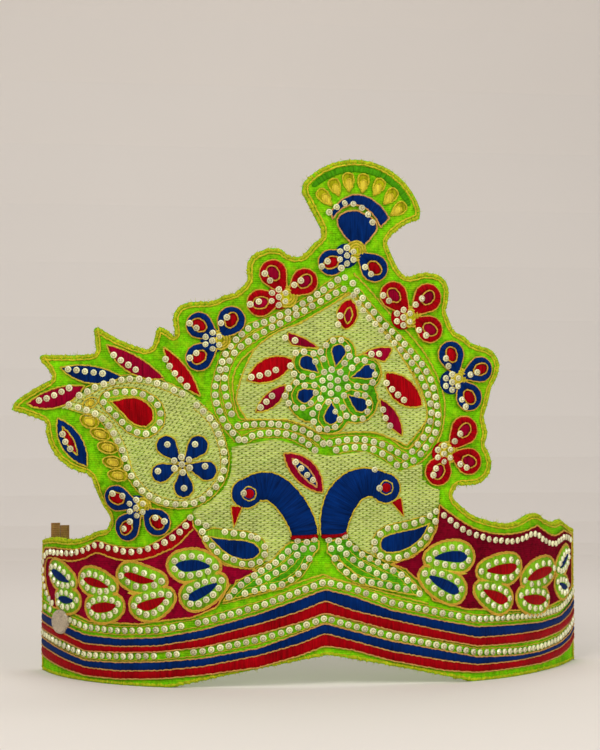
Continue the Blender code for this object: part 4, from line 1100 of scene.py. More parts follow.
HEART_LINES = (
    ((10.6, 177.6), (-2.0, 168.6), (-17.0, 161.0), (-31.0, 152.6), (-38.4, 146.2),
     (-42.0, 138.0), (-41.2, 128.0), (-38.6, 120.4), (-31.0, 121.4), (-19.0, 120.6),
     (-7.0, 116.6), (2.0, 113.4), (10.0, 114.4), (20.0, 114.2), (29.0, 111.6), (37.4, 106.6),
     (43.6, 112.0), (46.4, 120.0), (45.4, 129.0), (40.0, 141.0), (30.0, 152.4), (19.0, 163.0)),
    ((12.6, 186.0), (20.0, 178.6), (30.0, 167.4), (40.0, 157.4), (48.0, 147.2), (54.4, 134.0),
     (55.8, 123.6), (53.2, 111.4), (46.4, 102.4), (37.0, 96.6)))
HEART_FLOWER = (
    (-2.0, 150.4, 8.0), (13.4, 148.6, 7.6), (22.0, 134.4, 7.2), (9.6, 119.0, 5.4),
    (-6.2, 118.6, 7.2), (-13.8, 138.4, 7.6))
# Pointed leaves: node, finish, corners, stones, and the corners of a core if it has one
HEART_LEAVES = (
    ("heart_leaf_top", "red", ((11.0, 174.4, 4.6), (8.6, 160.4, 5.0)),
     ((6.1, 166.6), (5.2, 162.7)), ((10.6, 170.6, 1.8), (9.4, 163.0, 2.0))),
    ("heart_leaf_left_high", "magenta",
     ((-17.4, 159.0, 1.0), (-3.2, 152.0, 0.4), (-15.6, 153.4, 0.8)),
     ((-14.2, 155.4), (-18.6, 156.6)), None),
    ("heart_leaf_left_middle", "red", ((-35.6, 137.4, 5.6), (-14.8, 146.8, 5.0)),
     ((-33.7, 138.9), (-30.0, 139.6), (-26.3, 140.6), (-22.8, 142.1)), None),
    ("heart_leaf_left_low", "magenta", ((-31.8, 123.2, 2.8), (-18.1, 135.6, 3.8)),
     ((-29.6, 125.4), (-27.0, 127.9), (-24.5, 130.5)), None),
    ("heart_leaf_right_high", "magenta",
     ((16.5, 149.6, 1.4), (30.4, 152.4, 0.6), (26.8, 146.0, 0.4)),
     ((20.5, 149.5), (24.0, 149.6)), None),
    ("heart_leaf_right_middle", "red", ((27.2, 141.2, 4.8), (44.8, 126.2, 6.8)),
     ((27.4, 136.4), (30.0, 133.6), (32.8, 131.1), (35.6, 128.8)), None),
    ("heart_leaf_right_low", "magenta", ((24.6, 129.4, 3.2), (35.2, 112.4, 3.0)),
     ((25.8, 124.4), (27.0, 120.6), (29.1, 117.1)), None))
HEART_MIDDLE = (2.5, 136.0)
HEART_PETAL_ROOT = 0.52
HEART_PETAL_RADIUS = 3.3
HEART_PETAL_RIM = 2.6
HEART_PETALS = ((5.5, 150.5), (19.0, 141.5), (15.5, 126.5), (2.0, 121.0), (-10.0, 130.5),
                (-9.0, 145.5))
HEART_STONES = (
    (-13.9, 149.8), (-10.2, 150.3), (-5.9, 149.5), (-2.7, 150.3), (-5.2, 145.8), (-1.5, 147.1),
    (-0.2, 153.3), (3.0, 155.4), (6.6, 155.6), (9.5, 152.0), (10.4, 148.4), (8.1, 145.3),
    (11.6, 143.2), (13.8, 146.6), (17.4, 146.5), (20.9, 143.9), (22.0, 140.3), (21.0, 136.7),
    (17.6, 134.6), (13.8, 135.0), (13.8, 131.1), (17.5, 130.8), (19.1, 127.5), (18.6, 123.5),
    (16.4, 120.4), (12.5, 120.6), (8.9, 121.6), (7.4, 125.3), (3.7, 123.5), (5.8, 120.0),
    (3.8, 116.7), (0.2, 115.6), (-3.4, 115.8), (-5.8, 119.0), (-6.3, 122.6), (-3.7, 125.5),
    (-7.2, 127.3), (-10.7, 125.2), (-14.0, 125.2), (-17.0, 127.3), (-18.7, 130.5),
    (-16.9, 134.0), (-13.6, 136.5), (-9.9, 135.2), (-5.5, 135.4), (-10.8, 139.1),
    (-6.4, 139.4), (-14.6, 140.4), (-16.2, 144.0), (-5.0, 132.0), (-1.1, 141.2), (2.3, 142.4),
    (6.2, 141.2), (1.5, 138.8), (5.0, 137.5), (8.7, 138.5), (-1.9, 137.4), (1.7, 135.2),
    (5.2, 133.8), (9.6, 134.6), (-1.4, 133.6), (1.9, 131.7), (0.8, 127.8), (4.4, 128.5),
    (7.9, 130.7), (-2.8, 129.3))

# Flowers: node, finish, round middle and its radius, middle of the seven stones, petals with
# their radii, and the stones of the petals
FLOWERS = (
    ("flower_top", "blue", (13.6, 196.0, 4.4), (9.2, 193.8),
     ((2.2, 190.6, 5.8), (22.0, 188.4, 6.2)),
     ((0.4, 191.1), (-2.2, 188.7), (17.5, 188.7), (20.2, 185.6), (6.6, 188.1))),
    ("flower_upper_left", "red", (-17.8, 175.0, 4.6), (-21.5, 174.8),
     ((-24.0, 185.6, 6.0), (-9.8, 182.0, 5.8), (-29.6, 172.2, 6.0)),
     ((-27.7, 185.3), (-25.4, 182.2), (-11.6, 182.3), (-14.6, 180.3), (-30.4, 172.8),
      (-34.2, 171.5))),
    ("flower_upper_right", "red", (39.0, 166.6, 4.6), (35.4, 166.2),
     ((31.0, 176.2, 6.2), (47.2, 175.4, 6.4), (48.2, 161.0, 6.0)),
     ((25.9, 176.0), (28.5, 173.6), (44.2, 174.9), (41.1, 172.1), (42.8, 160.6),
      (46.1, 158.2))),
    ("flower_left", "blue", (-47.4, 155.6, 4.2), (-51.0, 155.2),
     ((-57.0, 162.2, 5.8), (-42.6, 164.4, 6.2), (-57.0, 147.8, 6.0)),
     ((-61.2, 163.0), (-58.2, 160.9), (-44.6, 165.7), (-47.2, 163.1), (-58.2, 149.7),
      (-61.1, 147.5))),
    ("flower_right", "blue", (62.0, 138.8, 4.6), (58.8, 137.0),
     ((58.6, 149.6, 6.2), (73.0, 143.0, 5.8), (67.4, 130.2, 6.2)),
     ((55.7, 147.8), (56.9, 144.3), (67.8, 140.5), (71.1, 141.6), (63.5, 129.1),
      (65.4, 125.8))),
    ("flower_lower_right", "red", (56.6, 105.0, 4.8), (54.8, 104.4),
     ((65.0, 115.0, 6.4), (67.2, 100.8, 6.0), (52.2, 96.2, 6.2)),
     ((62.6, 113.4), (59.9, 110.0), (62.7, 99.6), (65.7, 98.0), (50.8, 97.7), (49.5, 94.7))),
    ("flower_lower_left", "blue", (-82.6, 80.6, 4.0), (-85.2, 80.4),
     ((-94.4, 84.6, 5.8), (-90.4, 71.2, 6.0), (-75.8, 73.8, 6.0)),
     ((-96.0, 86.8), (-91.5, 85.7), (-88.4, 74.1), (-91.5, 70.8), (-76.4, 76.0),
      (-72.3, 74.4))))
PETAL_MORE = 0.2
CORE_LONG = 3.3
CORE_WIDE = 2.4
# Threads round the middle of a flower: height of the outer one, radius, and where they run
DISC_HIGH = 1.2
DISC_THREAD = 0.5
DISC_RINGS = (1.0, 0.72, 0.44)
CLUSTER_RING = 3.5
CLUSTER_RIM = 2.0

# Heads are circles; necks run from there, with half widths. Both rise more than other pads
NECK_MORE = 0.3
HEAD_MORE = 0.38
HEADS = ((-35.9, 86.9, 6.7), (27.2, 88.9, 6.8))
NECKS = (
    ("bird_neck_left", ((-35.0, 88.2, 5.8), (-30.5, 89.8, 6.4), (-25.6, 90.0, 6.4),
                        (-20.6, 87.2, 6.4), (-15.2, 81.2, 6.4), (-11.7, 75.0, 6.3),
                        (-10.2, 71.0, 6.2), (-9.9, 67.8, 6.1))),
    ("bird_neck_right", ((26.0, 90.2, 6.0), (19.0, 91.6, 6.6), (12.4, 89.8, 7.2),
                         (7.1, 84.2, 7.6), (4.3, 77.2, 7.0), (3.4, 71.6, 6.3),
                         (3.4, 67.9, 5.9))))
# Eyes: the eye's middle, and the stone on it
EYE_RADIUS = 2.2
EYE_RING = 3.1
EYES = (((-34.6, 86.8), (-36.9, 87.0)), ((27.2, 89.2), (24.1, 89.0)))
BEAKS = (
    ("bird_beak_left", ((-42.8, 81.2), (-37.4, 81.6), (-41.4, 71.6))),
    ("bird_beak_right", ((29.6, 82.8), (34.4, 84.8), (35.8, 75.8))))
COLLARS = (
    ("bird_collar_left", ((-16.2, 67.0), (-9.8, 67.4), (-3.6, 67.4))),
    ("bird_collar_right", ((-2.4, 67.4), (4.0, 67.8), (9.6, 68.8))))
# Wings: node, outline of the blue pad, and stones
WING_RIM = 4.2
WINGS = (
    ("bird_wing_left",
     ((-52.5, 67.7), (-52.5, 67.7), (-45.0, 66.5), (-36.0, 65.8), (-31.0, 63.5), (-30.0, 60.5),
      (-33.0, 57.8), (-38.0, 57.6), (-45.0, 60.5)),
     ((-53.8, 66.8), (-51.0, 63.6), (-48.8, 60.9), (-45.0, 58.6), (-41.4, 57.4),
      (-37.7, 55.5), (-33.6, 55.5), (-29.9, 56.4), (-27.7, 59.7), (-27.7, 63.2),
      (-31.0, 66.9), (-33.7, 67.8), (-37.4, 68.5), (-41.4, 69.2), (-45.4, 69.8),
      (-55.4, 69.9), (-53.7, 72.6), (-57.3, 74.0))),
    ("bird_wing_right",
     ((47.5, 72.5), (47.5, 72.5), (40.0, 70.3), (32.0, 68.8), (26.0, 66.8), (24.5, 63.0),
      (26.6, 60.4), (31.0, 60.0), (37.0, 61.6), (43.5, 66.0)),
     ((24.5, 68.3), (28.0, 70.8), (31.9, 71.3), (36.0, 72.0), (40.5, 73.0), (44.2, 74.2),
      (47.9, 76.2), (50.9, 78.2), (50.6, 73.7), (48.2, 69.9), (46.3, 66.6), (43.4, 63.7),
      (40.2, 61.0), (36.8, 58.6), (32.9, 57.6), (28.3, 57.6), (24.5, 58.6), (22.0, 61.4),
      (21.8, 64.8))))
BIRD_STONES = (
    (-13.0, 65.8), (-8.9, 65.0), (-5.5, 66.3), (1.0, 66.0), (5.4, 65.4), (8.4, 67.5),
    (-14.1, 62.9), (-10.4, 62.0), (-6.3, 62.2), (2.1, 62.1), (6.2, 62.1), (10.2, 64.1),
    (13.2, 62.0), (22.1, 97.2))
# Rows of stones on the spread tails
FAN_ROWS = (
    (10, ((-17.4, 61.1), (-23.3, 55.8), (-33.7, 49.5), (-40.0, 44.5), (-43.4, 40.6))),
    (6, ((-13.2, 59.4), (-18.9, 53.9), (-30.1, 47.5))),
    (9, ((-7.9, 57.8), (-12.2, 51.3), (-18.9, 46.6), (-26.5, 44.8), (-36.4, 42.3))),
    (9, ((16.1, 59.3), (26.8, 53.7), (34.4, 49.9), (39.7, 44.6), (43.1, 41.1))),
    (6, ((9.0, 59.7), (14.9, 55.1), (26.6, 49.0))),
    (10, ((3.6, 57.8), (8.4, 52.0), (15.5, 47.8), (27.3, 45.3), (36.8, 43.1))))
FANS = (
    ((-16.6, 64.9, -0.5), (-24.6, 56.4, 0.6), (-40.4, 48.0, 0.6), (-46.4, 38.6, 0.4),
     (-21.0, 44.8, -1.0), (-3.4, 62.4, 0.0), (-3.2, 65.6, 0.0)),
    ((0.8, 65.4, 0.0), (9.4, 66.6, -0.5), (20.6, 56.4, 0.6), (37.4, 48.4, 0.6),
     (44.4, 40.0, 0.4), (18.0, 45.6, -1.0), (0.4, 60.0, 0.0)))
BIRD_LEAF = (-19.2, 104.8, -1.7, 86.9, 6.4, 4.2)
BIRD_LEAF_CORE = (-15.6, 102.4, -4.2, 89.6, 2.6, 1.7)
BIRD_LEAF_STONES = ((-14.0, 100.9), (-11.5, 98.1), (-8.8, 95.1), (-6.3, 92.9))

PAISLEY_ROW = (
    (33, ((-115.4, 126.6), (-104.2, 122.9), (-97.6, 117.6), (-91.9, 107.4), (-88.1, 96.0),
          (-80.7, 86.7), (-69.5, 82.2), (-57.4, 83.3), (-48.2, 91.5), (-45.5, 102.5),
          (-49.9, 117.4), (-58.1, 126.4))),
    (13, ((-64.6, 131.5), (-76.0, 136.4), (-88.0, 138.2), (-100.4, 135.7), (-110.9, 130.6))))
PAISLEY_RING = (17, ((-98.3, 131.0), (-99.8, 127.6), (-94.0, 121.5), (-88.0, 115.8),
                     (-80.6, 113.6), (-74.6, 118.5), (-75.4, 126.2), (-82.3, 131.2),
                     (-90.4, 132.4)))
PAISLEY_RIM = 1.8
PAISLEY_DROP = ((-96.4, 128.0), (-96.4, 128.0), (-86.0, 129.8), (-79.0, 126.0), (-77.4, 120.6),
                (-80.8, 116.8), (-86.6, 118.2), (-91.0, 122.4))
# Loops: middle, length, width and turn
LOOP_CORE = 0.6
LOOP_THREADS = (1.0, 0.55)
LOOPS = ((-106.2, 119.2, 8.6, 6.0, -20.0), (-101.3, 113.4, 9.2, 4.8, -18.0),
         (-97.9, 107.4, 9.4, 5.2, -12.0), (-95.6, 100.8, 9.2, 5.2, -10.0),
         (-93.4, 95.0, 8.8, 5.2, -8.0), (-106.0, 127.4, 7.2, 4.4, 24.0))
PAISLEY_MIDDLE = (-64.4, 99.8)
PAISLEY_PETAL_PART = 0.86
PAISLEY_PETALS = ((-71.6, 108.2, 5.4), (-57.4, 108.2, 5.4), (-53.4, 97.0, 5.2),
                  (-63.8, 89.4, 5.2), (-74.0, 96.0, 5.0))
PAISLEY_STONES = (
    (-71.1, 108.8), (-58.7, 108.9), (-54.2, 99.1), (-63.6, 89.3), (-75.3, 96.9),
    (-64.8, 103.2), (-68.0, 101.6), (-61.4, 102.0), (-64.6, 99.9), (-67.9, 98.1),
    (-61.1, 98.4), (-64.2, 96.3))
CREST_LEAVES = (
    ("crest_leaf_1", "magenta", ((-134.6, 126.8, 3.0), (-108.4, 135.0, 5.6)),
     ((-128.8, 128.5), (-125.4, 129.4), (-122.0, 130.8), (-118.7, 132.4), (-115.3, 134.1)),
     None),
    ("crest_leaf_2", "blue", ((-119.6, 143.2, 2.9), (-91.6, 139.0, 5.0)),
     ((-115.8, 142.5), (-112.0, 142.1), (-108.2, 141.5), (-104.3, 141.0), (-100.3, 140.6)),
     None),
    ("crest_leaf_3", "magenta", ((-98.8, 153.6, 2.4), (-72.4, 138.2, 5.6)),
     ((-95.3, 148.8), (-92.1, 146.5), (-88.7, 144.4), (-85.4, 142.3)), None),
    ("crest_leaf_4", "red", ((-73.0, 152.4, 2.8), (-56.4, 130.2, 3.8)),
     ((-72.0, 147.0), (-70.2, 143.8), (-67.8, 140.6), (-65.2, 137.8), (-62.4, 134.8)), None),
    ("crest_leaf_5", "blue", ((-120.6, 120.6, 4.6), (-107.2, 98.8, 5.2)),
     ((-118.2, 113.4), (-116.9, 110.0), (-114.7, 106.8)),
     ((-118.4, 116.8, 1.7), (-111.4, 103.8, 1.7))))

PLUME_STONES = (7, ((1.3, 213.2), (4.4, 215.6), (8.6, 217.4), (12.8, 217.3), (16.5, 215.5),
                    (19.3, 212.6), (21.2, 209.1)))
PLUME_BULB = ((13.0, 197.8), (13.0, 197.8), (7.2, 204.2), (5.0, 209.6), (7.6, 213.0),
              (13.0, 214.4), (18.6, 212.4), (22.6, 209.6), (23.2, 206.0), (20.0, 201.4),
              (16.6, 197.8), (16.6, 197.8))
PLUME_ARC = (((3.0, 210.2), (5.0, 213.0), (8.0, 215.6), (12.0, 217.0), (17.0, 216.0),
              (21.6, 212.6), (25.2, 207.0)),
             ((2.0, 213.6), (5.4, 217.6), (9.0, 220.2), (13.4, 221.6), (19.6, 220.4),
              (25.6, 216.2), (29.2, 211.2)))
PLUME_PLACES = 60
# Loops from root to end: widths of the loop and of its core, and the core's part of its length
PLUME_LOOP_WIDE = 5.2
PLUME_CORE_WIDE = 3.0
PLUME_CORE_LONG = 0.68
PLUME_LOOPS = (
    ((2.5, 216.5), (-3.5, 223.5)), ((6.0, 221.0), (2.5, 228.5)), ((10.6, 222.8), (10.0, 231.5)),
    ((16.8, 222.5), (17.4, 231.2)), ((22.0, 221.4), (26.0, 229.0)),
    ((26.8, 217.6), (32.5, 224.5)), ((30.0, 212.6), (37.0, 218.0)))
# The flat round stone: middle and radius, and how its top falls from left to right
STUD = (-133.0, 25.8, 5.7)
STUD_LEAN = -0.2


# ---- outlines made from the tables


def outline(corners, step=0.8):
    """Even closed outline from corners (s, z, swell)."""
    line = round_off(corners)
    return even(line, round(length(line, True) / step), True)


def lens(s0, z0, s1, z1, left, right):
    """A pointed leaf between two places."""
    return outline([(s0, z0, left), (s1, z1, right)])


def level(name, s):
    """Height of one line of the band at places along it."""
    return np.interp(s, BAND[:, 0], BAND[:, 1 + BAND_NAMES.index(name)])


def row(count, points):
    """Places of stones at even steps on a curve, each a little off."""
    line = even(smooth(points), count)
    return line + np.random.default_rng(count).uniform(-0.16, 0.16, line.shape)


def loop(s, z, long, wide, turn, count=40):
    """An ellipse turned by degrees."""
    angle = np.linspace(0.0, 2.0 * math.pi, count, endpoint=False)
    a, b = long / 2.0 * np.cos(angle), wide / 2.0 * np.sin(angle)
    turn = math.radians(turn)
    return np.stack([s + a * math.cos(turn) - b * math.sin(turn),
                     z + a * math.sin(turn) + b * math.cos(turn)], -1)


def shifted(line, by):
    """A closed outline moved outwards, or inwards below 0, in small steps that keep it smooth."""
    after = np.roll(line, -1, 0)
    turn = np.sign((line[:, 0] * after[:, 1] - line[:, 1] * after[:, 0]).sum())
    steps = max(1, round(abs(by) / SHIFT_STEP))
    for _ in range(steps):
        line = line - turn * sides(line, True) * by / steps
        line = 0.5 * line + 0.25 * (np.roll(line, 1, 0) + np.roll(line, -1, 0))
    return line


def spindle(line, by, count=30):
    """Two sides of a core within a closed outline: half its width, less a distance, at each place.

    The outline starts at the leaf's tip, and its far end is the place most distant from there.
    """
    far = int(np.argmax(np.hypot(*(line - line[0]).T)))
    there = even(line[:far + 1], count)
    back = even(np.vstack([line[far:], line[:1]])[::-1], count)
    middle, half = (there + back) / 2.0, (there - back) / 2.0
    size = np.maximum(np.hypot(*half.T), 1e-6)
    wide = size - by
    keep = wide > 0.15
    side = half / size[:, None] * wide[:, None]
    return (middle + side)[keep], (middle - side)[keep]


def teardrop(root, end, wide, count=40):
    """A drop from root to end: across = sin t |sin t/2|, along = (1 - cos t) / 2.

    The first is 0.77 at most, so it is divided by that to give the drop its width.
    """
    root, end = np.array(root, float), np.array(end, float)
    t = np.linspace(0.0, 2.0 * math.pi, count, endpoint=False)
    way = end - root
    long = np.hypot(*way)
    left = np.array([-way[1], way[0]]) / long
    along = (1.0 - np.cos(t)) / 2.0
    across = wide / 2.0 / 0.77 * np.sin(t) * np.abs(np.sin(t / 2.0))
    return root + along[:, None] * way + across[:, None] * left


def neck_sides(points):
    """The two sides of a bird's neck, from its spine and half widths."""
    points = np.array(points)
    spine = smooth(points[:, :2], 0.8)
    half = np.interp(measure(spine) / measure(spine)[-1],
                     measure(points[:, :2]) / measure(points[:, :2])[-1], points[:, 2])
    side = sides(spine) * half[:, None]
    return spine + side, spine - side


def stitch_places(ground, turn, motifs):
    """Places of short stitches in brick order, inside a ground and clear of its motifs."""
    low, high = ground.min(0), ground.max(0)
    size = np.hypot(*(high - low)) / 2.0
    rows, steps = np.arange(-size, size, STITCH_ROW), np.arange(-size, size, STITCH_STEP)
    across, along = np.meshgrid(rows, steps, indexing="ij")
    along = along + (np.arange(len(rows)) % 2)[:, None] * STITCH_STEP / 2.0
    angle = math.radians(turn)
    places = np.stack([along * math.cos(angle) - across * math.sin(angle),
                       along * math.sin(angle) + across * math.cos(angle)], -1)
    places = places.reshape(-1, 2) + (low + high) / 2.0
    keep = inside(places, ground)
    for motif in motifs:
        keep &= ~inside(places, motif)
    return places[keep]


def core_of(finish):
    """The finish of the core in a leaf or petal."""
    return "red" if finish == "blue" else "magenta"


def wear(node, finish):
    """Give a solid a finish in place of its plain one."""
    for place in bpy.data.objects[node].material_slots:
        place.material = bpy.data.materials[FINISH_PREFIX + finish]


# ---- the steps


class CROWN_OT_stage(Step):
    """Set up the floor, the soft lights and the camera."""

    bl_idname = "crown.stage"
    bl_label = "Stage"

    def execute(self, context):
        mesh = bpy.data.meshes.new("floor")
        turn = np.linspace(0.0, math.pi / 2.0, 13)
        run = np.concatenate([[FLOOR_FRONT], SWEEP_FROM + SWEEP_RADIUS * np.sin(turn),
                              [SWEEP_FROM + SWEEP_RADIUS]])
        rise = np.concatenate([[0.0], SWEEP_RADIUS * (1.0 - np.cos(turn)), [SWEEP_TOP]])
        x, y = np.meshgrid(np.linspace(-FLOOR_HALF, FLOOR_HALF, 9), run)
        index = np.arange(x.size).reshape(x.shape)
        quads = np.stack([index[:-1, :-1], index[:-1, 1:], index[1:, 1:], index[1:, :-1]], -1)
        points = np.stack([x, y, rise[:, None] + 0.0 * x], -1).reshape(-1, 3)
        mesh.from_pydata(points.tolist(), [], quads.reshape(-1, 4).tolist())
        mesh.materials.append(bpy.data.materials[FINISH_PREFIX + "floor"])
        floor = bpy.data.objects.new("floor", mesh)
        context.scene.collection.objects.link(floor)
        for name, place, power, size in LIGHTS:
            light = bpy.data.lights.new(name, "AREA")
            light.energy, light.size, light.shape = power, size, "DISK"
            made = bpy.data.objects.new(name, light)
            made.location = place
            aim = LIGHTS_AIM - made.location
            made.rotation_euler = aim.to_track_quat("-Z", "Y").to_euler()
            context.scene.collection.objects.link(made)
        world = bpy.data.worlds.new("studio")
        world.use_nodes = True
        background = world.node_tree.nodes["Background"]
        background.inputs["Color"].default_value = SKY
        background.inputs["Strength"].default_value = SKY_STRENGTH
        context.scene.world = world
        context.scene.view_settings.view_transform = "Standard"
        camera = bpy.data.cameras.new("camera")
        camera.lens, camera.sensor_width = CAMERA_LENS, SENSOR_WIDTH
        made = bpy.data.objects.new("camera", camera)
        yaw, pitch = math.radians(CAMERA_YAW), math.radians(CAMERA_PITCH)
        ahead = Vector((math.sin(yaw), math.cos(yaw), 0.0))
        right = Vector((math.cos(yaw), -math.sin(yaw), 0.0))
        place = right * CAMERA_SIDE - ahead * CAMERA_DISTANCE
        made.location = Vector((place.x + SHIFT_X, place.y + SHIFT_Y, CAMERA_HEIGHT)) * MM
        aim = ahead * math.cos(pitch) + Vector((0.0, 0.0, math.sin(pitch)))
        made.rotation_euler = aim.to_track_quat("-Z", "Y").to_euler()
        context.scene.collection.objects.link(made)
        context.scene.camera = made
        return {"FINISHED"}


class CROWN_OT_board(Step):
    """Dress the board: cloth, bound edge, yellow rim line and the plume's satin border."""

    bl_idname = "crown.board"
    bl_label = "Board and border"

    def execute(self, context):
        wear("crown_board", "cloth")
        base = even(round_off(BOARD_EDGE), EDGE_PLACES, True)
        last = int(np.argmin(np.hypot(*(base - [RIGHT_END, 0.0]).T)))
        piece = Piece("bound_edge")
        cord(piece, shifted(base, -EDGE_IN), *EDGE_THREAD, "fuzz", closed=True, stitch=1.3,
             deep=1.5, waver=0.16, rough=0.14)
        cord(piece, shifted(base, -RIM_IN)[:last], *RIM_THREAD, "binding", stitch=1.8)
        fibres(piece, shifted(base, -FIBRES_IN), EDGE_FIBRES, "fuzz")
        piece.make("cloth")
        piece = Piece("satin_border")
        outer, inner = (shifted(base, -by) for by in BORDER_IN)
        first, last = (int(np.argmin(np.hypot(*(base - end).T))) for end in PLUME_ENDS)
        loft(piece, outer[first:last], inner[first:last], *PADS["border"], "moss", (6.0, 6.0))
        piece.make("cloth")
        return {"FINISHED"}


class CROWN_OT_band(Step):
    """Make the four satin stripes, the threads between them and the two long rows of stones."""

    bl_idname = "crown.band"
    bl_label = "Band"

    def execute(self, context):
        s = np.linspace(*BAND[[0, -1], 0], STRIPE_PLACES)
        for name, top, foot, finish in (
                ("stripe_blue_upper", "blue_top", "red_top", "blue"),
                ("stripe_red_upper", "red_top", "red_foot", "red"),
                ("stripe_blue_lower", "blue2_top", "red2_top", "blue"),
                ("stripe_red_lower", "red2_top", "red2_foot", "red")):
            piece = Piece("satin_" + name)
            upper, lower = (np.stack([s, level(edge, s)], -1) for edge in (top, foot))
            loft(piece, upper, lower, STRIPE_FOOT, self.pad, finish)
            for edge in (upper, lower) if finish == "red" else (upper,):
                self.lay(piece, "stripe", edge, False)
            piece.make(finish, name)
        threads = Piece("band_threads")
        for name, runs, line, rise in (
                ("stone_row_upper", UPPER_RUNS, "blue_top", STONE_ROW_RISE),
                ("stone_row_lower", LOWER_RUNS, "stones", 0.0)):
            s = np.concatenate([np.linspace(*run) for run in runs])
            s = s + np.random.default_rng(7).uniform(-0.15, 0.15, len(s))
            piece = Piece("cut_" + name)
            stones(piece, np.stack([s, level(line, s) + rise], -1), STONES_AT["band"])
            piece.make("glass", name)
            s = np.linspace(*BAND[[0, -1], 0], ROW_PLACES)
            self.lay_beside(threads, "band_row", np.stack([s, level(line, s) + rise], -1))
        self.lay(threads, "band", smooth(BAND_LINE), False)
        threads.make("green")
        return {"FINISHED"}


class CROWN_OT_grounds(Step):
    """Lay the short pale stitches on the three grounds of the crest."""

    bl_idname = "crown.grounds"
    bl_label = "Pale grounds"

    def execute(self, context):
        long = context.scene.crown_sizes.stitch / MM
        necks = [np.vstack([left, right[::-1]]) for left, right in
                 (neck_sides(points) for _, points in NECKS)]
        necks += [circle(*head) for head in HEADS]
        table = (
            ("heart_ground", HEART_GROUND, 0.0,
             [outline(HEART_FLOWER)]
             + [grown(outline(leaf[2]), LEAF_CLEAR) for leaf in HEART_LEAVES]),
            ("bird_ground", BIRD_GROUND, 0.0, necks + [grown(lens(*BIRD_LEAF), BIRD_LEAF_CLEAR)]
             + [shifted(smooth(points, 0.8, True), WING_RIM) for _, points, _ in WINGS]),
            ("paisley_ground", PAISLEY_GROUND, 20.0,
             [smooth(PAISLEY_RING[1], 1.0, True)] + [circle(*petal) for petal in PAISLEY_PETALS]))
        for name, corners, turn, motifs in table:
            wear(name, "ground")
            piece = Piece("stitches_" + name)
            for patch in BIRD_PATCHES if name == "bird_ground" else ():
                dome(piece, outline(patch), *PADS["patch"], "ground", square=40.0)
            places = stitch_places(grown(outline(corners), -GROUND_IN), turn, motifs)
            stitches(piece, places, turn, long, STITCH_WIDE, *PADS["stitch"], "cream")
            # Dark specks of painted shade in the gaps at the ends of the stitches
            angle = math.radians(turn)
            ends = places + np.array([math.cos(angle), math.sin(angle)]) * STITCH_STEP / 2.0
            ends = ends + np.random.default_rng(3).uniform(-0.2, 0.2, ends.shape)
            stitches(piece, ends, turn + SHADE_SPECK_TURN, SHADE_SPECK_LONG, SHADE_SPECK_WIDE, *PADS["speck"],
                     "speck")
            piece.make("cream")
        return {"FINISHED"}


class CROWN_OT_flowers(Step):
    """Make the seven flowers of the edge."""

    bl_idname = "crown.flowers"
    bl_label = "Edge flowers"

    def execute(self, context):
        for name, finish, disc, cluster, petals, set_stones in FLOWERS:
            piece = Piece("satin_" + name)
            for s, z, radius in petals:
                middle, root = np.array([s, z]), np.array(disc[:2])
                outer = drop(root, middle, radius, 64)
                ray = outer - middle
                reach = np.hypot(*ray.T)
                way = (middle - root) / np.hypot(*(middle - root))
                along = (ray @ way) / reach
                core = 1.0 / np.sqrt((along / CORE_LONG) ** 2
                                     + (1.0 - along ** 2) / CORE_WIDE ** 2)
                core_line = middle + ray * (core / reach)[:, None]
                ring(piece, grown(core_line, 0.2, middle), outer, GROUND_TOP,
                     self.pad + PETAL_MORE, finish)
                dome(piece, core_line, *PADS["petal_core"], core_of(finish))
                self.lay(piece, "petal_core", grown(core_line, 0.3, middle))
                self.lay(piece, "petal", outer)
            dome(piece, circle(*disc, 40), *PADS["disc"], "olive")
            for part in DISC_RINGS:
                cord(piece, circle(*disc[:2], disc[2] * part), DISC_HIGH * (2.0 - part),
                     DISC_THREAD, "gold", True)
            dome(piece, circle(*cluster, CLUSTER_RING + CLUSTER_RIM, 40), *PADS["cluster"],
                 finish)
            turn = np.arange(6) * math.pi / 3.0
            heart = [cluster] + [(cluster[0] + CLUSTER_RING * math.sin(a),
                                  cluster[1] + CLUSTER_RING * math.cos(a)) for a in turn]
            stones(piece, heart, STONES_AT["cluster"])
            stones(piece, set_stones, STONES_AT["petal"])
            piece.make(finish, name)
        return {"FINISHED"}


class CROWN_OT_heart(Step):
    """Make the flower and leaves of the heart and the rows of stones round it."""

    bl_idname = "crown.heart"
    bl_label = "Heart"

    def execute(self, context):
        piece = Piece("satin_heart_flower")
        self.sewn(piece, "heart_flower", outline(HEART_FLOWER), "fan")
        middle = np.array(HEART_MIDDLE)
        for place in HEART_PETALS:
            place = np.array(place)
            root = middle + HEART_PETAL_ROOT * (place - middle)
            shape = drop(root, place, HEART_PETAL_RADIUS)
            self.sewn(piece, "heart_petal", shape, "blue")
            self.lay(piece, "heart_petal", shifted(shape, HEART_PETAL_RIM))
        stones(piece, HEART_STONES, STONES_AT["heart_flower"])
        piece.make("green", "heart_flower")
        for name, finish, shape, places, core in HEART_LEAVES:
            self.leaf(name, finish, shape, places, core, "red")
        piece = Piece("heart_stones")
        for count, points in HEART_ROWS:
            stones(piece, row(count, points), STONES_AT["heart_row"])
        piece.make("glass")
        piece = Piece("heart_threads")
        for points in HEART_LINES:
            self.lay(piece, "heart", smooth(points), False)
        for _, points in HEART_ROWS[:-1]:
            self.lay_beside(piece, "heart_row", smooth(points))
        self.lay(piece, "heart_ground", grown(outline(HEART_GROUND), -0.4))
        piece.make("green")
        return {"FINISHED"}


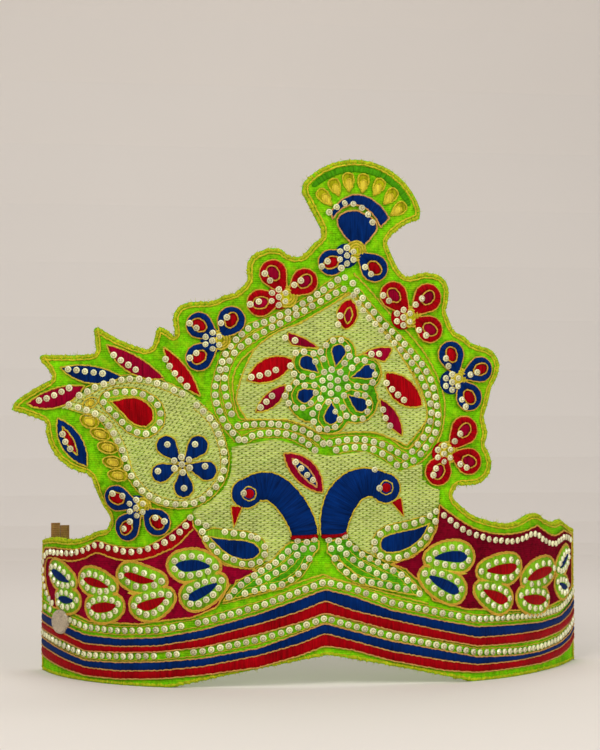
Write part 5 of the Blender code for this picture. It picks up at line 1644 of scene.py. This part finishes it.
class CROWN_OT_birds(Step):
    """Make the two peacocks and the leaf between them."""

    bl_idname = "crown.birds"
    bl_label = "Peacocks"

    def execute(self, context):
        for (name, points), head, (eye, stone) in zip(NECKS, HEADS, EYES):
            piece = Piece("satin_" + name)
            left, right = neck_sides(points)
            neck, head = np.vstack([left, right[::-1]]), circle(*head, 60)
            loft(piece, left, right, GROUND_TOP, self.pad + NECK_MORE, "blue", (1.0, 0.4))
            dome(piece, head, GROUND_TOP, self.pad + HEAD_MORE, "blue", square=3.0)
            for line in (left, right):
                self.lay(piece, "neck", line[~inside(line, head)], False)
            hidden = inside(head, neck)
            head = np.roll(head, -1 - int(np.flatnonzero(hidden & ~np.roll(hidden, -1))[-1]), 0)
            self.lay(piece, "neck", head[~inside(head, neck)], False)
            dome(piece, circle(*eye, EYE_RADIUS), *PADS["eye"], "red")
            self.lay(piece, "eye", circle(*eye, EYE_RING))
            stones(piece, [stone], STONES_AT["eye"])
            piece.make("blue", name)
        for name, points in BEAKS:
            piece = Piece("satin_" + name)
            self.sewn(piece, "beak", even(points, 40, True), "red")
            piece.make("red", name)
        for name, points in COLLARS:
            piece = Piece("satin_" + name)
            line = smooth(points)
            side = sides(line)
            loft(piece, line + side, line - side, *PADS["collar"], "red", (0.5, 0.5))
            piece.make("red", name)
        for name, points, places in WINGS:
            piece = Piece("satin_" + name)
            shape = smooth(points, 0.8, True)
            self.sewn(piece, "wing_rim", shifted(shape, WING_RIM), "leaf")
            self.sewn(piece, "wing", shape, "blue")
            stones(piece, places, STONES_AT["wing"])
            piece.make("blue", name)
        piece = Piece("satin_bird_leaf")
        self.sewn(piece, "bird_leaf", lens(*BIRD_LEAF), "magenta")
        self.sewn(piece, "bird_leaf_core", lens(*BIRD_LEAF_CORE), "blue")
        stones(piece, BIRD_LEAF_STONES, STONES_AT["bird_leaf"])
        piece.make("red", "bird_leaf")
        piece = Piece("fan_stones")
        for count, points in FAN_ROWS:
            stones(piece, row(count, points), STONES_AT["fan"])
        stones(piece, BIRD_STONES, STONES_AT["fan"])
        piece.make("glass")
        piece = Piece("fan_threads")
        for _, points in FAN_ROWS:
            self.lay_beside(piece, "fan_row", smooth(points))
        for node, corners in zip(("bird_fan_left", "bird_fan_right"), FANS):
            wear(node, "fan")
            self.lay(piece, "fan", outline(corners))
        piece.make("green")
        return {"FINISHED"}


class CROWN_OT_paisley(Step):
    """Make the paisley, its flower and loops, and the leaves of the crest."""

    bl_idname = "crown.paisley"
    bl_label = "Paisley and crest"

    def execute(self, context):
        piece = Piece("satin_paisley_drop")
        count, points = PAISLEY_RING
        line = smooth(points, 0.8, True)
        dome(piece, grown(line, PAISLEY_RIM), *PADS["paisley"], "leaf", square=6.0)
        self.sewn(piece, "paisley_drop", smooth(PAISLEY_DROP, 0.8, True), "red")
        stones(piece, even(line, count, True), STONES_AT["paisley_ring"])
        piece.make("red", "paisley_drop")
        piece = Piece("satin_paisley_flower")
        for s, z, radius in PAISLEY_PETALS:
            shape = drop(PAISLEY_MIDDLE, (s, z), radius * PAISLEY_PETAL_PART, 48)
            self.sewn(piece, "paisley_petal", shape, "blue")
        stones(piece, PAISLEY_STONES, STONES_AT["paisley_flower"])
        piece.make("blue", "paisley_flower")
        piece = Piece("paisley_stones")
        for count, points in PAISLEY_ROW:
            stones(piece, row(count, points), STONES_AT["paisley_row"])
        piece.make("glass")
        piece = Piece("paisley_loops")
        for _, points in PAISLEY_ROW:
            self.lay_beside(piece, "paisley_row", smooth(points))
        self.lay_beside(piece, "paisley_ring", smooth(PAISLEY_RING[1], closed=True), True)
        for s, z, long, wide, turn in LOOPS:
            dome(piece, loop(s, z, long, wide, turn), *PADS["loop"], "olive")
            dome(piece, loop(s, z, long * LOOP_CORE, wide * LOOP_CORE, turn),
                 *PADS["loop_core"], "gold_satin")
            for part in LOOP_THREADS:
                self.lay(piece, "loop", loop(s, z, long * part, wide * part, turn))
        piece.make("cream")
        for name, finish, shape, places, core in CREST_LEAVES:
            self.leaf(name, finish, shape, places, core, "blue" if finish == "blue" else "red")
        return {"FINISHED"}


class CROWN_OT_plume(Step):
    """Make the plume: its bulb, arc, stones and double loops."""

    bl_idname = "crown.plume"
    bl_label = "Plume"

    def execute(self, context):
        piece = Piece("satin_plume_bulb")
        self.sewn(piece, "plume_bulb", smooth(PLUME_BULB, 0.8, True), "blue")
        piece.make("blue", "plume_bulb")
        piece = Piece("satin_plume_arc")
        low, high = (even(smooth(points, 0.6), PLUME_PLACES) for points in PLUME_ARC)
        loft(piece, high, low, SEWN["plume_bulb"][0], self.pad, "blue", (3.0, 3.0))
        self.lay(piece, "plume_arc", np.vstack([high, low[::-1]]))
        piece.make("blue", "plume_arc")
        piece = Piece("plume_stones")
        stones(piece, row(*PLUME_STONES), STONES_AT["plume"])
        piece.make("glass")
        piece = Piece("plume_loops")
        for root, end in PLUME_LOOPS:
            root, end = np.array(root), np.array(end)
            self.sewn(piece, "plume_loop", teardrop(root, end, PLUME_LOOP_WIDE), "olive")
            core = teardrop(root, root + (end - root) * PLUME_CORE_LONG, PLUME_CORE_WIDE)
            self.sewn(piece, "plume_loop_core", core, "gold_satin")
        piece.make("green")
        return {"FINISHED"}


class CROWN_OT_fields(Step):
    """Make the leaves, lines and stones of the two dark red fields."""

    bl_idname = "crown.fields"
    bl_label = "Arm fields"

    def execute(self, context):
        wear("field_left", "field")
        wear("field_right", "field_right")
        for name, leaves in LEAVES:
            piece = Piece("satin_" + name)
            for core, count, points in leaves:
                line = smooth(points, 0.5, True)
                rim = shifted(line, LEAF_RIM)
                dome(piece, rim, GROUND_TOP, self.pad * LEAF_RIM_PART, "leaf", square=4.0)
                for kind, by in LEAF_THREADS:
                    self.lay(piece, kind, shifted(rim, by))
                one, other = spindle(line, LEAF_CORE)
                loft(piece, one, other, *PADS["field_core"], core, (0.8, 0.8))
                stones(piece, even(line, count, True), STONES_AT["leaf"])
            piece.make("green", name)
        for side, count, points in FIELD_ROWS:
            piece = Piece(f"field_stones_{side}")
            stones(piece, row(count, points), STONES_AT["field_row"])
            piece.make("glass")
        piece = Piece("field_threads")
        line = smooth(FIELD_LINE)
        upper = even(smooth(FIELD_ROWS[0][2][:FIELD_STRIP]), len(line))
        loft(piece, upper, line, *PADS["field_strip"], "red", (1.0, 1.0))
        self.lay(piece, "field_line", line, False)
        dome(piece, outline(FIELD_WEDGE), *PADS["wedge"], "field", square=8.0)
        for tip, notch in GOLD_FILLS:
            dome(piece, lens(*tip, *notch, 2.2, 2.2), *PADS["gold_fill"], "gold_satin")
        for corners in (FIELD_LEFT, FIELD_RIGHT):
            self.lay(piece, "field", outline(corners))
        piece.make("maroon")
        return {"FINISHED"}


class CROWN_OT_closings(Step):
    """Finish the round stone and the two closing tabs."""

    bl_idname = "crown.closings"
    bl_label = "Round stone and tabs"

    def execute(self, context):
        wear("closing_tab_1", "strap")
        wear("closing_tab_2", "strap")
        piece = Piece("round_horn_stone")
        dome(piece, circle(*STUD, 48), *PADS["horn"], "horn", square=9.0, lean=STUD_LEAN)
        piece.make("horn", "round_stone")
        return {"FINISHED"}


STEPS = (CROWN_OT_finishes, CROWN_OT_stage, CROWN_OT_board, CROWN_OT_band, CROWN_OT_grounds,
         CROWN_OT_flowers, CROWN_OT_heart, CROWN_OT_birds, CROWN_OT_paisley, CROWN_OT_plume,
         CROWN_OT_fields, CROWN_OT_closings)


class CROWN_PT_steps(bpy.types.Panel):
    """Sidebar panel with the crown's steps, colours and sizes."""

    bl_label = "Deity crown"
    bl_space_type = "VIEW_3D"
    bl_region_type = "UI"
    bl_category = "Crown"

    def draw(self, context):
        for step in STEPS:
            self.layout.operator(step.bl_idname)
        for group in (context.scene.crown_colours, context.scene.crown_sizes):
            for name in group.__annotations__:
                self.layout.prop(group, name)


CLASSES = (CrownColours, CrownSizes, *STEPS, CROWN_PT_steps)


def register():
    """Make the classes known, and give the scene their colours and sizes."""
    for kind in CLASSES:
        bpy.utils.register_class(kind)
    bpy.types.Scene.crown_colours = bpy.props.PointerProperty(type=CrownColours)
    bpy.types.Scene.crown_sizes = bpy.props.PointerProperty(type=CrownSizes)


def unregister():
    """Take back what register() did."""
    del bpy.types.Scene.crown_sizes
    del bpy.types.Scene.crown_colours
    for kind in reversed(CLASSES):
        bpy.utils.unregister_class(kind)


def main():
    """Run every step in order."""
    register()
    for step in STEPS:
        family, name = step.bl_idname.split(".")
        getattr(getattr(bpy.ops, family), name)()


if __name__ == "__main__":
    main()
